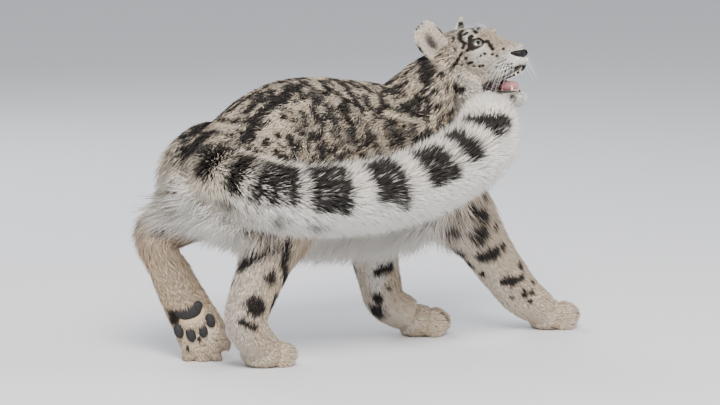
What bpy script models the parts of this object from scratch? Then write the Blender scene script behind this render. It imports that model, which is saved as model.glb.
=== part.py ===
# Snow leopard, life size: a still model that stands and looks back over its right side.
# The body faces +X with its left side at +Y, and the floor is z = 0.

import math
import random

import bmesh
import bpy
import numpy as np
from mathutils import Matrix, Vector
from mathutils.bvhtree import BVHTree

# Driving sizes, in metres
BODY_VOXEL = 0.007      # grid on which the trunk and limbs are fused
HEAD_VOXEL = 0.0036     # finer grid for the head
BODY_SMOOTHING = 8      # rounds of smoothing over the fused masses
HEAD_SMOOTHING = 4
BODY_FACES = 2700       # triangles kept on the trunk, neck, limbs and tail
HEAD_FACES = 1500
CUT_GAP = 0.0003        # gap between touching nodes
SCRAP_FACES = 30        # a loose surface with fewer faces is a scrap
SEED = 7

HEAD_HEADING = math.radians(-73)
HEAD_PITCH = math.radians(26)
NOSE_TIP = Vector((0.565, -0.260, 0.645))

# The trunk: place along the body, side shift, top, underside and half width
TRUNK = (
    (-0.170, 0.000, 0.462, 0.395, 0.036),
    (-0.140, 0.000, 0.500, 0.350, 0.082),
    (-0.070, 0.000, 0.545, 0.305, 0.116),
    (0.000, 0.002, 0.581, 0.282, 0.124),
    (0.080, 0.006, 0.602, 0.262, 0.120),
    (0.170, 0.006, 0.604, 0.248, 0.121),
    (0.270, 0.000, 0.593, 0.240, 0.127),
    (0.360, -0.020, 0.579, 0.240, 0.127),
    (0.430, -0.050, 0.560, 0.262, 0.116),
    (0.490, -0.085, 0.528, 0.305, 0.094),
    (0.530, -0.105, 0.488, 0.350, 0.062),
)

# Neck and limbs, down the middle of each: centre, half width across, half depth fore and aft
NECK = (
    ((0.385, -0.035, 0.455), 0.108, 0.120),
    ((0.430, -0.060, 0.510), 0.094, 0.098),
    ((0.475, -0.085, 0.565), 0.080, 0.082),
    ((0.508, -0.110, 0.612), 0.068, 0.070),
)
LIMBS = {
    "hind_right": (
        ((-0.035, -0.070, 0.460), 0.066, 0.098),
        ((-0.035, -0.095, 0.380), 0.070, 0.110),
        ((-0.038, -0.105, 0.305), 0.062, 0.084),
        ((-0.078, -0.105, 0.240), 0.055, 0.064),
        ((-0.110, -0.100, 0.175), 0.048, 0.054),
        ((-0.136, -0.099, 0.118), 0.045, 0.048),
        ((-0.118, -0.095, 0.075), 0.044, 0.042),
        ((-0.080, -0.088, 0.042), 0.044, 0.036),
    ),
    "hind_left": (
        ((-0.030, 0.070, 0.460), 0.066, 0.098),
        ((-0.030, 0.100, 0.385), 0.070, 0.108),
        ((-0.055, 0.125, 0.325), 0.064, 0.086),
        ((-0.120, 0.138, 0.290), 0.053, 0.058),
        ((-0.170, 0.140, 0.262), 0.044, 0.046),
        ((-0.160, 0.116, 0.200), 0.044, 0.036),
        ((-0.137, 0.092, 0.130), 0.049, 0.034),
        ((-0.117, 0.070, 0.075), 0.053, 0.032),
    ),
    "fore_right": (
        ((0.390, -0.110, 0.450), 0.060, 0.085),
        ((0.435, -0.130, 0.370), 0.062, 0.080),
        ((0.496, -0.155, 0.275), 0.054, 0.068),
        ((0.553, -0.160, 0.203), 0.047, 0.058),
        ((0.612, -0.163, 0.137), 0.044, 0.052),
        ((0.664, -0.166, 0.086), 0.044, 0.048),
        ((0.715, -0.177, 0.050), 0.046, 0.040),
    ),
    "fore_left": (
        ((0.415, 0.035, 0.450), 0.060, 0.080),
        ((0.418, 0.048, 0.370), 0.062, 0.078),
        ((0.392, 0.048, 0.275), 0.054, 0.066),
        ((0.386, 0.030, 0.200), 0.049, 0.055),
        ((0.384, 0.010, 0.135), 0.045, 0.049),
        ((0.390, -0.004, 0.085), 0.044, 0.045),
        ((0.430, -0.025, 0.052), 0.046, 0.040),
    ),
}
LIMB_FRONTS = {
    "hind_right": (1, 0, 0),
    "hind_left": (0.72, 0.69, -0.1),
    "fore_right": (0.9, -0.3, 0.3),
    "fore_left": (0.9, -0.42, 0),
}

# Paws that stand flat: ball of the foot on the floor, heading in degrees and height
FLAT_PAWS = {
    "hind_right": ((-0.068, -0.086), -8, 0.058),
    "fore_right": ((0.742, -0.184), -24, 0.068),
    "fore_left": ((0.462, -0.040), -30, 0.070),
}
LIFTED_BALL = Vector((-0.112, 0.065, 0.056))    # ball of the left hind foot, which stands on its toes
LIFTED_DOWN = Vector((0.22, -0.24, -0.95))      # the way its toes point
LIFTED_SOLE = Vector((-0.72, -0.69, 0.02))      # the way its sole faces
LIFTED_HEIGHT = 0.056
TOES = ((-0.036, 0.022, 0.016), (-0.013, 0.038, 0.018), (0.013, 0.038, 0.018), (0.036, 0.022, 0.016))
TOE_LENGTH = 0.028
SOLE_SINK = 0.005       # how far the soles are pressed past the floor before they are cut flat

# Muscle masses that round the limbs into the trunk: centre and radii
MASSES = (
    ((-0.055, 0.078, 0.415), (0.112, 0.062, 0.105)),    # haunches
    ((-0.055, -0.074, 0.410), (0.108, 0.060, 0.105)),
    ((0.385, 0.040, 0.430), (0.080, 0.066, 0.110)),     # shoulders
    ((0.385, -0.110, 0.430), (0.082, 0.062, 0.110)),
    ((0.505, -0.085, 0.440), (0.050, 0.070, 0.100)),    # breast
    ((0.530, -0.150, 0.470), (0.045, 0.055, 0.080)),    # throat
)

# Tail: centres from its root to its tip, and half width of its core
TAIL = (
    (-0.095, 0.000, 0.430),
    (-0.150, -0.030, 0.432),
    (-0.168, -0.100, 0.405),
    (-0.125, -0.185, 0.376),
    (-0.030, -0.240, 0.366),
    (0.075, -0.265, 0.368),
    (0.185, -0.283, 0.382),
    (0.285, -0.296, 0.412),
    (0.360, -0.304, 0.453),
    (0.404, -0.304, 0.498),
    (0.408, -0.298, 0.536),
)
TAIL_CORE = 0.041
TAIL_CUTS = (0.35, 0.52, 0.68, 0.84)    # shares of the tail's length where its pieces meet
TAIL_CUT_RADIUS = 0.086

# Thin discs that part the body: centre, normal and radius
CUTS = (
    ((0.500, -0.030, 0.494), (0.50, -0.30, 0.81), 0.215),       # neck from torso
    ((-0.094, -0.102, 0.208), (-0.45, 0.05, -0.89), 0.085),     # right hind leg
    ((-0.120, 0.138, 0.290), (-0.87, 0.12, -0.47), 0.085),      # left hind leg
    ((0.545, -0.160, 0.213), (0.65, -0.06, -0.75), 0.090),      # right foreleg
    ((0.376, 0.033, 0.210), (0, -0.2, -0.98), 0.105),           # left foreleg
    ((-0.128, -0.097, 0.096), (0.50, 0.08, -0.86), 0.070),      # paws, in the same order
    ((-0.145, 0.100, 0.152), (0.28, -0.30, -0.91), 0.072),
    ((0.650, -0.165, 0.100), (0.70, -0.04, -0.71), 0.070),
    ((0.386, 0.004, 0.112), (0.08, -0.22, -0.97), 0.068),
    ((0.505, -0.118, 0.552), (0.398, -0.447, 0.710), 0.146),    # head from neck
)

# A point inside each node that the cuts leave
SEEDS = {
    "torso": (0.150, 0.000, 0.430),
    "neck": (0.482, -0.092, 0.575),
    "hindleg_right": (-0.118, -0.099, 0.155),
    "hindleg_left": (-0.162, 0.125, 0.225),
    "foreleg_right": (0.600, -0.162, 0.150),
    "foreleg_left": (0.385, 0.018, 0.160),
    "hindpaw_right": (-0.070, -0.087, 0.035),
    "hindpaw_left": (-0.118, 0.072, 0.080),
    "forepaw_right": (0.735, -0.182, 0.035),
    "forepaw_left": (0.455, -0.036, 0.035),
}

# Upper head, from the nose tip back: place, top, underside, half width
SKULL = (
    (-0.002, 0.013, 0.000, 0.010),
    (-0.010, 0.027, -0.016, 0.018),
    (-0.021, 0.037, -0.027, 0.026),
    (-0.036, 0.049, -0.032, 0.033),
    (-0.051, 0.069, -0.034, 0.038),
    (-0.063, 0.085, -0.035, 0.043),
    (-0.079, 0.097, -0.038, 0.050),
    (-0.100, 0.107, -0.045, 0.060),
    (-0.125, 0.114, -0.056, 0.067),
    (-0.152, 0.114, -0.068, 0.071),
    (-0.182, 0.103, -0.068, 0.067),
    (-0.212, 0.082, -0.050, 0.050),
)
# Lower jaw, from its root to the chin: place, middle height, half width, half height
JAW = (
    (-0.152, -0.045, 0.048, 0.030),
    (-0.122, -0.059, 0.041, 0.022),
    (-0.095, -0.070, 0.033, 0.018),
    (-0.070, -0.079, 0.025, 0.015),
    (-0.056, -0.083, 0.015, 0.011),
)
EYE_PLACE = Vector((-0.085, 0.0345, 0.056))
EYE_AIM = Vector((0.80, 0.52, 0.22))
EYE_RADIUS = 0.0145
LID = 0.0042            # thickness of the lids
LID_OPENING = (0.030, 0.0128, 0.0088)   # reach, half length and half height of the slit between them
HEAD_MASSES = (
    ((-0.040, 0.019, -0.010), (0.027, 0.019, 0.021)),    # whisker pads
    ((-0.100, 0.038, 0.020), (0.045, 0.028, 0.036)),     # cheekbones
    ((-0.145, 0.046, -0.020), (0.044, 0.034, 0.055)),    # cheeks
    ((-0.078, 0.026, 0.080), (0.022, 0.014, 0.010)),     # brows
    (EYE_PLACE, (EYE_RADIUS + LID,) * 3),                # lids
)
NOSE = ((-0.009, 0, 0.001), (0.013, 0.018, 0.013))
NOSTRIL = ((0.002, 0.0085, 0.000), (0.006, 0.0042, 0.0032))
TONGUE = ((-0.082, 0, -0.062), (0.034, 0.015, 0.0075))
TONGUE_TILT = math.radians(19)
# Canine teeth: root, tip and root radius, for one side
TEETH = (
    ((-0.034, 0.0130, -0.024), (-0.033, 0.0138, -0.040), 0.0040),
    ((-0.062, 0.0110, -0.076), (-0.054, 0.0125, -0.057), 0.0038),
)
EAR_BASE = Vector((-0.160, 0.050, 0.078))
EAR_TIP = Vector((-0.165, 0.084, 0.136))
EAR_FACE = Vector((0.58, 0.80, 0.10))   # the way its cup opens
EAR_WIDTH = 0.068
EAR_DEPTH = 0.017       # how deep the cup is
EAR_WALL = 0.0045
EAR_STUMP = 0.027       # how far up the ear its cut from the head lies
EAR_SUNK = 0.20         # share of its length that starts inside the head

# Locks of the long coat: length, width and how steeply they leave the skin
LOCK_SINK = 0.013       # how deep the roots lie under the skin
LOCK_FLATNESS = 0.30    # thickness over width
LOCK_SHARES = ((0.0, 0.62), (0.36, 1.0), (0.70, 0.74))     # place along a lock and its width there
LOCK_SPREAD = 0.16      # how far length, width and side bend differ from lock to lock
TAIL_LOCK = (0.086, 0.047, math.radians(50))
TAIL_ROWS = 11
TAIL_ROUND = 6
TAIL_FIRST = 0.17       # share of the tail's length where the locks begin
BELLY_LOCK = (0.098, 0.060, math.radians(62))
FLANK_LOCK = (0.085, 0.058, math.radians(34))
CHEST_LOCK = (0.092, 0.056, math.radians(46))
THIGH_LOCK = (0.084, 0.050, math.radians(42))
LEG_LOCK = (0.062, 0.044, math.radians(38))
CHEEK_LOCK = (0.050, 0.032, math.radians(36))
LEG_LOCK_HEIGHTS = {"fore_right": (0.320, 0.285, 0.250, 0.155, 0.125), "fore_left": (0.320, 0.295, 0.190, 0.160, 0.130)}

MATERIALS = {
    "coat": ((0.55, 0.49, 0.42, 1), 0.85),
    "nose_leather": ((0.03, 0.028, 0.03, 1), 0.45),
    "eye": ((0.42, 0.45, 0.40, 1), 0.08),
    "tongue": ((0.62, 0.25, 0.27, 1), 0.4),
}


def clear_scene():
    for obj in list(bpy.data.objects):
        bpy.data.objects.remove(obj)


def material(name):
    found = bpy.data.materials.get(name)
    if found:
        return found
    colour, roughness = MATERIALS[name]
    made = bpy.data.materials.new(name)
    made.use_nodes = True
    shader = made.node_tree.nodes["Principled BSDF"]
    shader.inputs["Base Color"].default_value = colour
    shader.inputs["Roughness"].default_value = roughness
    shader.inputs["Metallic"].default_value = 0.0
    made.diffuse_color = colour
    return made


def object_of(name, points, faces):
    mesh = bpy.data.meshes.new(name)
    mesh.from_pydata([tuple(p) for p in points], [], faces)
    outward = bmesh.new()
    outward.from_mesh(mesh)
    bmesh.ops.recalc_face_normals(outward, faces=outward.faces)
    outward.to_mesh(mesh)
    outward.free()
    obj = bpy.data.objects.new(name, mesh)
    bpy.context.scene.collection.objects.link(obj)
    return obj


def joined(name, shapes):
    """One object that holds the points and faces of several closed shapes."""
    points, faces = [], []
    for shape_points, shape_faces in shapes:
        start = len(points)
        points.extend(shape_points)
        faces.extend([tuple(i + start for i in face) for face in shape_faces])
    return object_of(name, points, faces)


def eased(rows, per=4):
    """Rows of numbers read from a smooth curve through the given rows."""
    rows = np.array(rows, float)
    ends = np.vstack([2 * rows[0] - rows[1], rows, 2 * rows[-1] - rows[-2]])
    out = []
    for i in range(1, len(rows)):
        a, b, c, d = ends[i - 1:i + 3]
        for t in np.arange(per) / per:
            out.append(0.5 * (2 * b + (c - a) * t + (2 * a - 5 * b + 4 * c - d) * t * t
                              + (3 * b - a - 3 * c + d) * t ** 3))
    out.append(rows[-1])
    return np.array(out)


def ring_tube(rings):
    """A closed tube through rings that all have the same number of points."""
    count = len(rings[0])
    points = [p for ring in rings for p in ring]
    faces = []
    for r in range(len(rings) - 1):
        for i in range(count):
            j = (i + 1) % count
            a, b = r * count, (r + 1) * count
            faces.append((a + i, a + j, b + j, b + i))
    faces.append(tuple(reversed(range(count))))
    faces.append(tuple(range((len(rings) - 1) * count, len(rings) * count)))
    return points, faces


def limb_shape(stations, front, sides=16, per=4):
    """A round limb along its stations: each is a centre, a half width and a half depth."""
    rows = eased([(*c, w, d) for c, w, d in stations], per)
    centres = rows[:, :3]
    along = np.gradient(centres, axis=0)
    along /= np.linalg.norm(along, axis=1)[:, None]
    rings = []
    for centre, axis, (wide, deep) in zip(centres, along, rows[:, 3:]):
        depth = np.array(front, float) - axis * np.dot(front, axis)
        depth /= np.linalg.norm(depth)
        side = np.cross(axis, depth)
        turn = [2 * math.pi * i / sides for i in range(sides)]
        rings.append([centre + side * wide * math.cos(t) + depth * deep * math.sin(t) for t in turn])
    return ring_tube(rings)


def egg_section(x, y, top, under, wide, sides, belly=0.42, power=2.2):
    """A cross-section across x whose widest line lies at a share of its height."""
    middle = under + (top - under) * belly
    ring = []
    for i in range(sides):
        t = 2 * math.pi * i / sides
        c, s = math.cos(t), math.sin(t)
        high = (top - middle) if s > 0 else (middle - under)
        ring.append(Vector((x, y + wide * math.copysign(abs(c) ** (2 / power), c),
                            middle + high * math.copysign(abs(s) ** (2 / power), s))))
    return ring


def trunk_shape():
    rows = eased(TRUNK, 4)
    return ring_tube([egg_section(x, y, top, under, wide, 24) for x, y, top, under, wide in rows])


def ellipsoid(centre, radii, turn=None, detail=3):
    """A ball stretched to three radii."""
    ball = bmesh.new()
    bmesh.ops.create_icosphere(ball, subdivisions=detail, radius=1)
    turn = turn or Matrix.Identity(3)
    points = [Vector(centre) + turn @ Vector([v.co[i] * radii[i] for i in range(3)]) for v in ball.verts]
    faces = [tuple(v.index for v in face.verts) for face in ball.faces]
    ball.free()
    return points, faces


def head_frame():
    """Turns the head's own directions (forward, left, up) into the body's, about the nose tip."""
    forward = Vector((math.cos(HEAD_PITCH) * math.cos(HEAD_HEADING),
                      math.cos(HEAD_PITCH) * math.sin(HEAD_HEADING), math.sin(HEAD_PITCH)))
    left = Vector((-math.sin(HEAD_HEADING), math.cos(HEAD_HEADING), 0))
    up = forward.cross(left)
    turn = Matrix((forward, left, up)).transposed()
    return Matrix.Translation(NOSE_TIP) @ turn.to_4x4()


def applied(obj):
    """The object's modifiers made permanent."""
    graph = bpy.context.evaluated_depsgraph_get()
    mesh = bpy.data.meshes.new_from_object(obj.evaluated_get(graph))
    obj.modifiers.clear()
    obj.data = mesh
    return obj


def fused(obj, voxel, rounds, faces):
    """The overlapping shapes of obj as one smooth closed surface of about so many triangles."""
    remesh = obj.modifiers.new("Remesh", "REMESH")
    remesh.mode = "VOXEL"
    remesh.voxel_size = voxel
    smooth = obj.modifiers.new("Smooth", "SMOOTH")
    smooth.factor = 0.5
    smooth.iterations = rounds
    applied(obj)
    obj.data.calc_loop_triangles()
    decimate = obj.modifiers.new("Decimate", "DECIMATE")
    decimate.ratio = min(1.0, faces / len(obj.data.loop_triangles))
    decimate.use_collapse_triangulate = True
    return applied(obj)


def combine(obj, others, operation, solver="MANIFOLD"):
    """One Boolean on all the others at once, which are then removed."""
    group = bpy.data.collections.new("group")
    bpy.context.scene.collection.children.link(group)
    for other in others:
        for held in list(other.users_collection):
            held.objects.unlink(other)
        group.objects.link(other)
    boolean = obj.modifiers.new("Boolean", "BOOLEAN")
    boolean.operation = operation
    boolean.solver = solver
    boolean.operand_type = "COLLECTION"
    boolean.collection = group
    applied(obj)
    for other in others:
        bpy.data.objects.remove(other)
    bpy.data.collections.remove(group)
    return obj


def paw_frame(name):
    """Place and directions (forward, left, up) of a paw's ball."""
    if name == "hind_left":
        forward = LIFTED_DOWN.normalized()
        up = -(LIFTED_SOLE - forward * LIFTED_SOLE.dot(forward)).normalized()
        left = up.cross(forward)
        return LIFTED_BALL, Matrix((forward, left, up)).transposed()
    (x, y), heading, height = FLAT_PAWS[name]
    return Vector((x, y, height / 2)), Matrix.Rotation(math.radians(heading), 3, "Z")


def paw_shapes(name):
    """The ball of the foot and its four toes."""
    place, turn = paw_frame(name)
    high = (LIFTED_HEIGHT if name == "hind_left" else FLAT_PAWS[name][2]) / 2
    ball = place + turn @ Vector((-0.006, 0, 0))
    shapes = [ellipsoid(ball, (0.047, 0.050, high + SOLE_SINK), turn)]
    for side, forward, wide in TOES:
        centre = place + turn @ Vector((forward, side, -0.004))
        splay = turn @ Matrix.Rotation(side * 7, 3, "Z")
        shapes.append(ellipsoid(centre, (TOE_LENGTH, wide, high * 0.84), splay))
    return shapes


def tail_place(share):
    """Centre and direction of the tail at a share of its length."""
    centres = eased(TAIL, 6)
    steps = np.linalg.norm(np.diff(centres, axis=0), axis=1)
    run = np.concatenate([[0], np.cumsum(steps)])
    here, ahead = [Vector([np.interp(s * run[-1], run, centres[:, i]) for i in range(3)])
                   for s in (share - 0.01, share + 0.01)]
    return (here + ahead) / 2, (ahead - here).normalized()


def lock_shape(root, out, lie, size, chance):
    """A flat tapered lock that leaves the skin at an angle and bends over to follow the lie of the coat."""
    length, width, lift = size
    length *= 1 + chance.uniform(-LOCK_SPREAD, LOCK_SPREAD)
    width *= 1 + chance.uniform(-LOCK_SPREAD, LOCK_SPREAD) / 2
    sway = chance.uniform(-LOCK_SPREAD, LOCK_SPREAD)
    lie = (lie - out * lie.dot(out)).normalized()
    side = out.cross(lie)

    def place(share):
        ahead = (math.sin(lift) - math.sin(lift * (1 - share))) / lift
        above = (math.cos(lift * (1 - share)) - math.cos(lift)) / lift
        return root - out * LOCK_SINK + (lie * ahead + out * above + side * sway * share ** 2) * length

    rings = []
    for share, wide in LOCK_SHARES:
        angle = lift * (1 - share)
        normal = out * math.cos(angle) - lie * math.sin(angle)
        half = side * width * wide / 2
        thick = normal * width * wide * LOCK_FLATNESS / 2
        rings.append([place(share) + step for step in (half, thick, -half, -thick)])
    points, faces = ring_tube(rings)
    last, tip = (len(rings) - 1) * 4, len(points)
    faces = faces[:-1] + [(last + i, last + (i + 1) % 4, tip) for i in range(4)]
    return points + [place(1.0)], faces


def spots_along(tree, starts, lie):
    """Roots for locks: the skin nearest to each start, its outward direction and the lie there."""
    found = []
    for start in starts:
        root, out, _, _ = tree.find_nearest(Vector(start))
        found.append((root, out, Vector(lie)))
    return found


def tail_spots(tree):
    spots = []
    for row in range(TAIL_ROWS):
        share = TAIL_FIRST + (0.985 - TAIL_FIRST) * row / (TAIL_ROWS - 1)
        centre, along = tail_place(share)
        side = along.cross(Vector((0, 0, 1))).normalized()
        over = side.cross(along)
        for i in range(TAIL_ROUND):
            turn = math.tau * (i + 0.5 * (row % 2)) / TAIL_ROUND
            out = side * math.cos(turn) + over * math.sin(turn)
            hit = tree.ray_cast(centre, out, TAIL_CORE * 1.5)
            if hit[0] is not None:
                spots.append((hit[0], out, along))
    centre, along = tail_place(1.0)
    side = along.cross(Vector((0, 1, 0))).normalized()
    for i in range(5):
        out = Matrix.Rotation(math.tau * i / 5, 3, along) @ side
        out = (out * 0.75 + along * 0.66).normalized()
        spots.append((centre + out * TAIL_CORE * 0.95, out, along))
    return spots


def belly_spots(tree):
    starts = [(x, y + 0.012 * (i % 2), 0.18)
              for i, x in enumerate(np.linspace(0.010, 0.350, 7)) for y in (-0.062, 0.0, 0.062)]
    return spots_along(tree, starts, (-1, 0, -0.1))


def flank_spots(tree):
    starts = [(x, side * 0.30, 0.292) for x in np.linspace(0.03, 0.33, 6) for side in (1, -1)]
    return spots_along(tree, starts, (-0.35, 0, -1))


def chest_spots(tree):
    starts = [(0.66, -0.13 + y + 0.02 * (i % 2), z)
              for i, z in enumerate((0.51, 0.465, 0.42, 0.375, 0.335)) for y in (-0.065, -0.005, 0.055)]
    return spots_along(tree, starts, (0.1, 0, -1))


def thigh_spots(tree):
    starts = [(-0.30, y, z) for z in (0.465, 0.42, 0.375, 0.335) for y in (0.045, 0.105)]
    starts += [(-0.24, y, z) for z in (0.33, 0.29, 0.25) for y in (-0.085, -0.130)]
    return spots_along(tree, starts, (-0.25, 0, -1))


def leg_spots(tree):
    """Feathering down the back of both forelegs."""
    spots = []
    for name, heights in LEG_LOCK_HEIGHTS.items():
        rows = eased([centre for centre, wide, deep in LIMBS[name]], 4)[::-1]
        back = -Vector(LIMB_FRONTS[name]).normalized()
        for height in heights:
            here, below = [Vector([np.interp(z, rows[:, 2], rows[:, i]) for i in range(3)])
                           for z in (height, height - 0.01)]
            spots += spots_along(tree, [here + back * 0.12], below - here)
    return spots


def cheek_spots(tree):
    frame = head_frame()
    spots = []
    for side in (1, -1):
        for x, z in ((-0.150, 0.020), (-0.142, -0.012), (-0.150, -0.045), (-0.168, 0.000), (-0.168, -0.035)):
            start = frame @ Vector((x, side * 0.12, z))
            lie = frame.to_3x3() @ Vector((-0.9, side * 0.15, -0.45))
            spots += spots_along(tree, [start], lie)
    return spots


def make_locks(whole):
    """Every lock of the long coat, each an object of its own."""
    tree = BVHTree.FromPolygons([v.co for v in whole.data.vertices], [f.vertices for f in whole.data.polygons])
    chance = random.Random(SEED)
    coats = ((tail_spots, TAIL_LOCK), (belly_spots, BELLY_LOCK), (flank_spots, FLANK_LOCK),
             (chest_spots, CHEST_LOCK), (thigh_spots, THIGH_LOCK), (leg_spots, LEG_LOCK),
             (cheek_spots, CHEEK_LOCK))
    locks = []
    for spots, size in coats:
        for root, out, lie in spots(tree):
            locks.append(joined("lock", [lock_shape(root, out, lie, size, chance)]))
    return locks


def make_body():
    """Trunk, neck, limbs and tail core as one surface."""
    shapes = [trunk_shape(), limb_shape(NECK, (0.7, -0.5, -0.5))]
    for name, stations in LIMBS.items():
        shapes.append(limb_shape(stations, LIMB_FRONTS[name]))
        shapes += paw_shapes(name)
    shapes += [ellipsoid(centre, radii) for centre, radii in MASSES]
    shapes.append(limb_shape([(c, TAIL_CORE, TAIL_CORE) for c in TAIL], (0.3, 0.6, 0.8), sides=14))
    shapes.append(ellipsoid(TAIL[-1], (TAIL_CORE,) * 3))
    return fused(joined("body", shapes), BODY_VOXEL, BODY_SMOOTHING, BODY_FACES)


def mirrored(place, side):
    return Vector((place[0], place[1] * side, place[2]))


def head_ball(centre, radii, turn=None, detail=3):
    """An ellipsoid given in the head's frame, as an object."""
    obj = joined("ball", [ellipsoid(centre, radii, turn, detail)])
    obj.data.transform(head_frame())
    return obj


def make_head():
    """Upper head and lower jaw in place, with lids, teeth and the hollows for eyes, nose and tongue."""
    rows = eased(SKULL, 3)
    upper = ring_tube([egg_section(x, 0, top, under, wide, 24, 0.40) for x, top, under, wide in rows])
    rows = eased(JAW, 3)
    jaw = ring_tube([egg_section(x, 0, z + high, z - high, wide, 16, 0.5) for x, z, wide, high in rows])
    shapes = [upper, jaw]
    for centre, radii in HEAD_MASSES:
        shapes += [ellipsoid(mirrored(centre, side), radii) for side in (1, -1)]
    head = joined("head", shapes)
    head.data.transform(head_frame())
    fused(head, HEAD_VOXEL, HEAD_SMOOTHING, HEAD_FACES)
    teeth = []
    for root, tip, radius in TEETH:
        for side in (1, -1):
            tooth = joined("tooth", [tooth_shape(mirrored(root, side), mirrored(tip, side), radius)])
            tooth.data.transform(head_frame())
            teeth.append(tooth)
    combine(head, teeth, "UNION")
    return head


def tooth_shape(root, tip, radius):
    """A pointed six-sided tooth."""
    axis = tip - root
    side = axis.orthogonal().normalized()
    other = axis.cross(side).normalized()
    rings = []
    for share, wide in ((0, 1.0), (0.6, 0.8), (1.0, 0.15)):
        turn = [math.tau * i / 6 for i in range(6)]
        rings.append([root + axis * share + (side * math.cos(t) + other * math.sin(t)) * radius * wide
                      for t in turn])
    return ring_tube(rings)


def ear_axes(side):
    base, tip = mirrored(EAR_BASE, side), mirrored(EAR_TIP, side)
    axis = (tip - base).normalized()
    face = mirrored(EAR_FACE, side)
    face = (face - axis * face.dot(axis)).normalized()
    return base, (tip - base).length, axis, face, axis.cross(face)


def ear_shape(side, across=7, along=7):
    """A rounded cup of even wall, from inside the head to its tip."""
    base, length, axis, face, wide = ear_axes(side)
    rings = []
    for r in range(along + 1):
        share = -EAR_SUNK + (1 + EAR_SUNK) * (r / along) ** 0.85
        arch = math.sqrt(max(0.0, 1 - (max(0.0, share - 0.42) / 0.60) ** 2))
        half = EAR_WIDTH / 2 * arch * (0.80 + 0.20 * min(1, max(0.0, share) / 0.42))
        deep = EAR_DEPTH * (1 - 0.75 * max(0.0, share)) * (half / (EAR_WIDTH / 2)) ** 0.5
        shares = [-1 + 2 * i / (across - 1) for i in range(across)]
        middle = base + axis * share * length
        back = [middle + wide * half * u - face * (deep * (1 - u * u) + EAR_WALL * 0.5) for u in shares]
        front = [middle + wide * half * u * 0.86 - face * (deep * (1 - u * u) - EAR_WALL * 0.5) for u in shares]
        rings.append(back + front[::-1])
    return ring_tube(rings)


def disc(centre, normal, radius):
    """A thin round blade that parts two nodes."""
    turn = Vector(normal).normalized().to_track_quat("Z", "Y").to_matrix()
    rings = []
    for z in (-CUT_GAP / 2, CUT_GAP / 2):
        rings.append([Vector(centre) + turn @ Vector((radius * math.cos(t), radius * math.sin(t), z))
                      for t in [math.tau * i / 24 for i in range(24)]])
    return joined("disc", [ring_tube(rings)])


def floor_block():
    """Everything below the floor."""
    corners = [(x, y) for x, y in ((-1, -1), (2, -1), (2, 1), (-1, 1))]
    return joined("floor", [ring_tube([[Vector((x, y, z)) for x, y in corners] for z in (-0.5, 0.0)])])


def blades():
    """Every cut between nodes, as objects."""
    cuts = [disc(*cut) for cut in CUTS]
    for share in TAIL_CUTS:
        cuts.append(disc(*tail_place(share), TAIL_CUT_RADIUS))
    frame = head_frame()
    for side in (1, -1):
        base, length, axis, face, wide = ear_axes(side)
        place = frame @ (base + axis * EAR_STUMP)
        cuts.append(disc(place, frame.to_3x3() @ axis, EAR_WIDTH * 0.62))
    return cuts


def loose_surfaces(obj):
    """Each closed surface of obj as points and faces."""
    mesh = bmesh.new()
    mesh.from_mesh(obj.data)
    mesh.faces.ensure_lookup_table()
    seen, out = set(), []
    for start in mesh.faces:
        if start.index in seen:
            continue
        seen.add(start.index)
        group, queue = [], [start]
        while queue:
            face = queue.pop()
            group.append(face)
            for edge in face.edges:
                for other in edge.link_faces:
                    if other.index not in seen:
                        seen.add(other.index)
                        queue.append(other)
        verts = {v: i for i, v in enumerate({v: None for face in group for v in face.verts})}
        out.append(([v.co.copy() for v in verts], [tuple(verts[v] for v in face.verts) for face in group]))
    mesh.free()
    return out


def node_seeds():
    frame = head_frame()
    seeds = {name: Vector(place) for name, place in SEEDS.items()}
    seeds["head"] = frame @ Vector((-0.120, 0, 0.020))
    shares = (*TAIL_CUTS, 1.0)
    for i in range(len(TAIL_CUTS)):
        seeds[f"tail_{i + 1}"] = tail_place((shares[i] + shares[i + 1]) / 2)[0]
    for name, side in (("ear_left", 1), ("ear_right", -1)):
        base, length, axis, face, wide = ear_axes(side)
        seeds[name] = frame @ (base + axis * length * 0.55 - face * EAR_DEPTH * 0.5)
    return seeds


def part_into_nodes(whole):
    """One object for each seed, the surface that lies nearest to it."""
    surfaces = [s for s in loose_surfaces(whole) if len(s[1]) > SCRAP_FACES]
    trees = [BVHTree.FromPolygons(points, faces) for points, faces in surfaces]
    nodes = {}
    for name, seed in node_seeds().items():
        best = min(range(len(trees)), key=lambda i: trees[i].find_nearest(seed)[3])
        points, faces = surfaces[best]
        nodes[name] = object_of(name, points, faces)
    bpy.data.objects.remove(whole)
    return nodes


def add_face_parts(head):
    """Eyes, nose and tongue, each in a hollow of the head."""
    pieces = {}
    hollows = []
    for name, side in (("eye_left", 1), ("eye_right", -1)):
        place = mirrored(EYE_PLACE, side)
        turn = mirrored(EYE_AIM, side).normalized().to_track_quat("X", "Z").to_matrix()
        pieces[name] = head_ball(place, (EYE_RADIUS,) * 3)
        hollows.append(head_ball(place, (EYE_RADIUS + CUT_GAP,) * 3))
        front = place + mirrored(EYE_AIM, side).normalized() * EYE_RADIUS
        hollows.append(head_ball(front, LID_OPENING, turn, detail=2))
    centre, radii = NOSE
    pieces["nose"] = head_ball(centre, radii, detail=2)
    hollows.append(head_ball(centre, [r + CUT_GAP for r in radii], detail=2))
    nostril, size = NOSTRIL
    combine(pieces["nose"], [head_ball(mirrored(nostril, side), size, detail=2) for side in (1, -1)],
            "DIFFERENCE")
    centre, radii = TONGUE
    tilt = Matrix.Rotation(TONGUE_TILT, 3, "Y")
    pieces["tongue"] = head_ball(centre, radii, tilt, detail=2)
    hollows.append(head_ball(centre, [r + CUT_GAP for r in radii], tilt, detail=2))
    combine(head, hollows, "DIFFERENCE")
    return pieces


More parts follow.
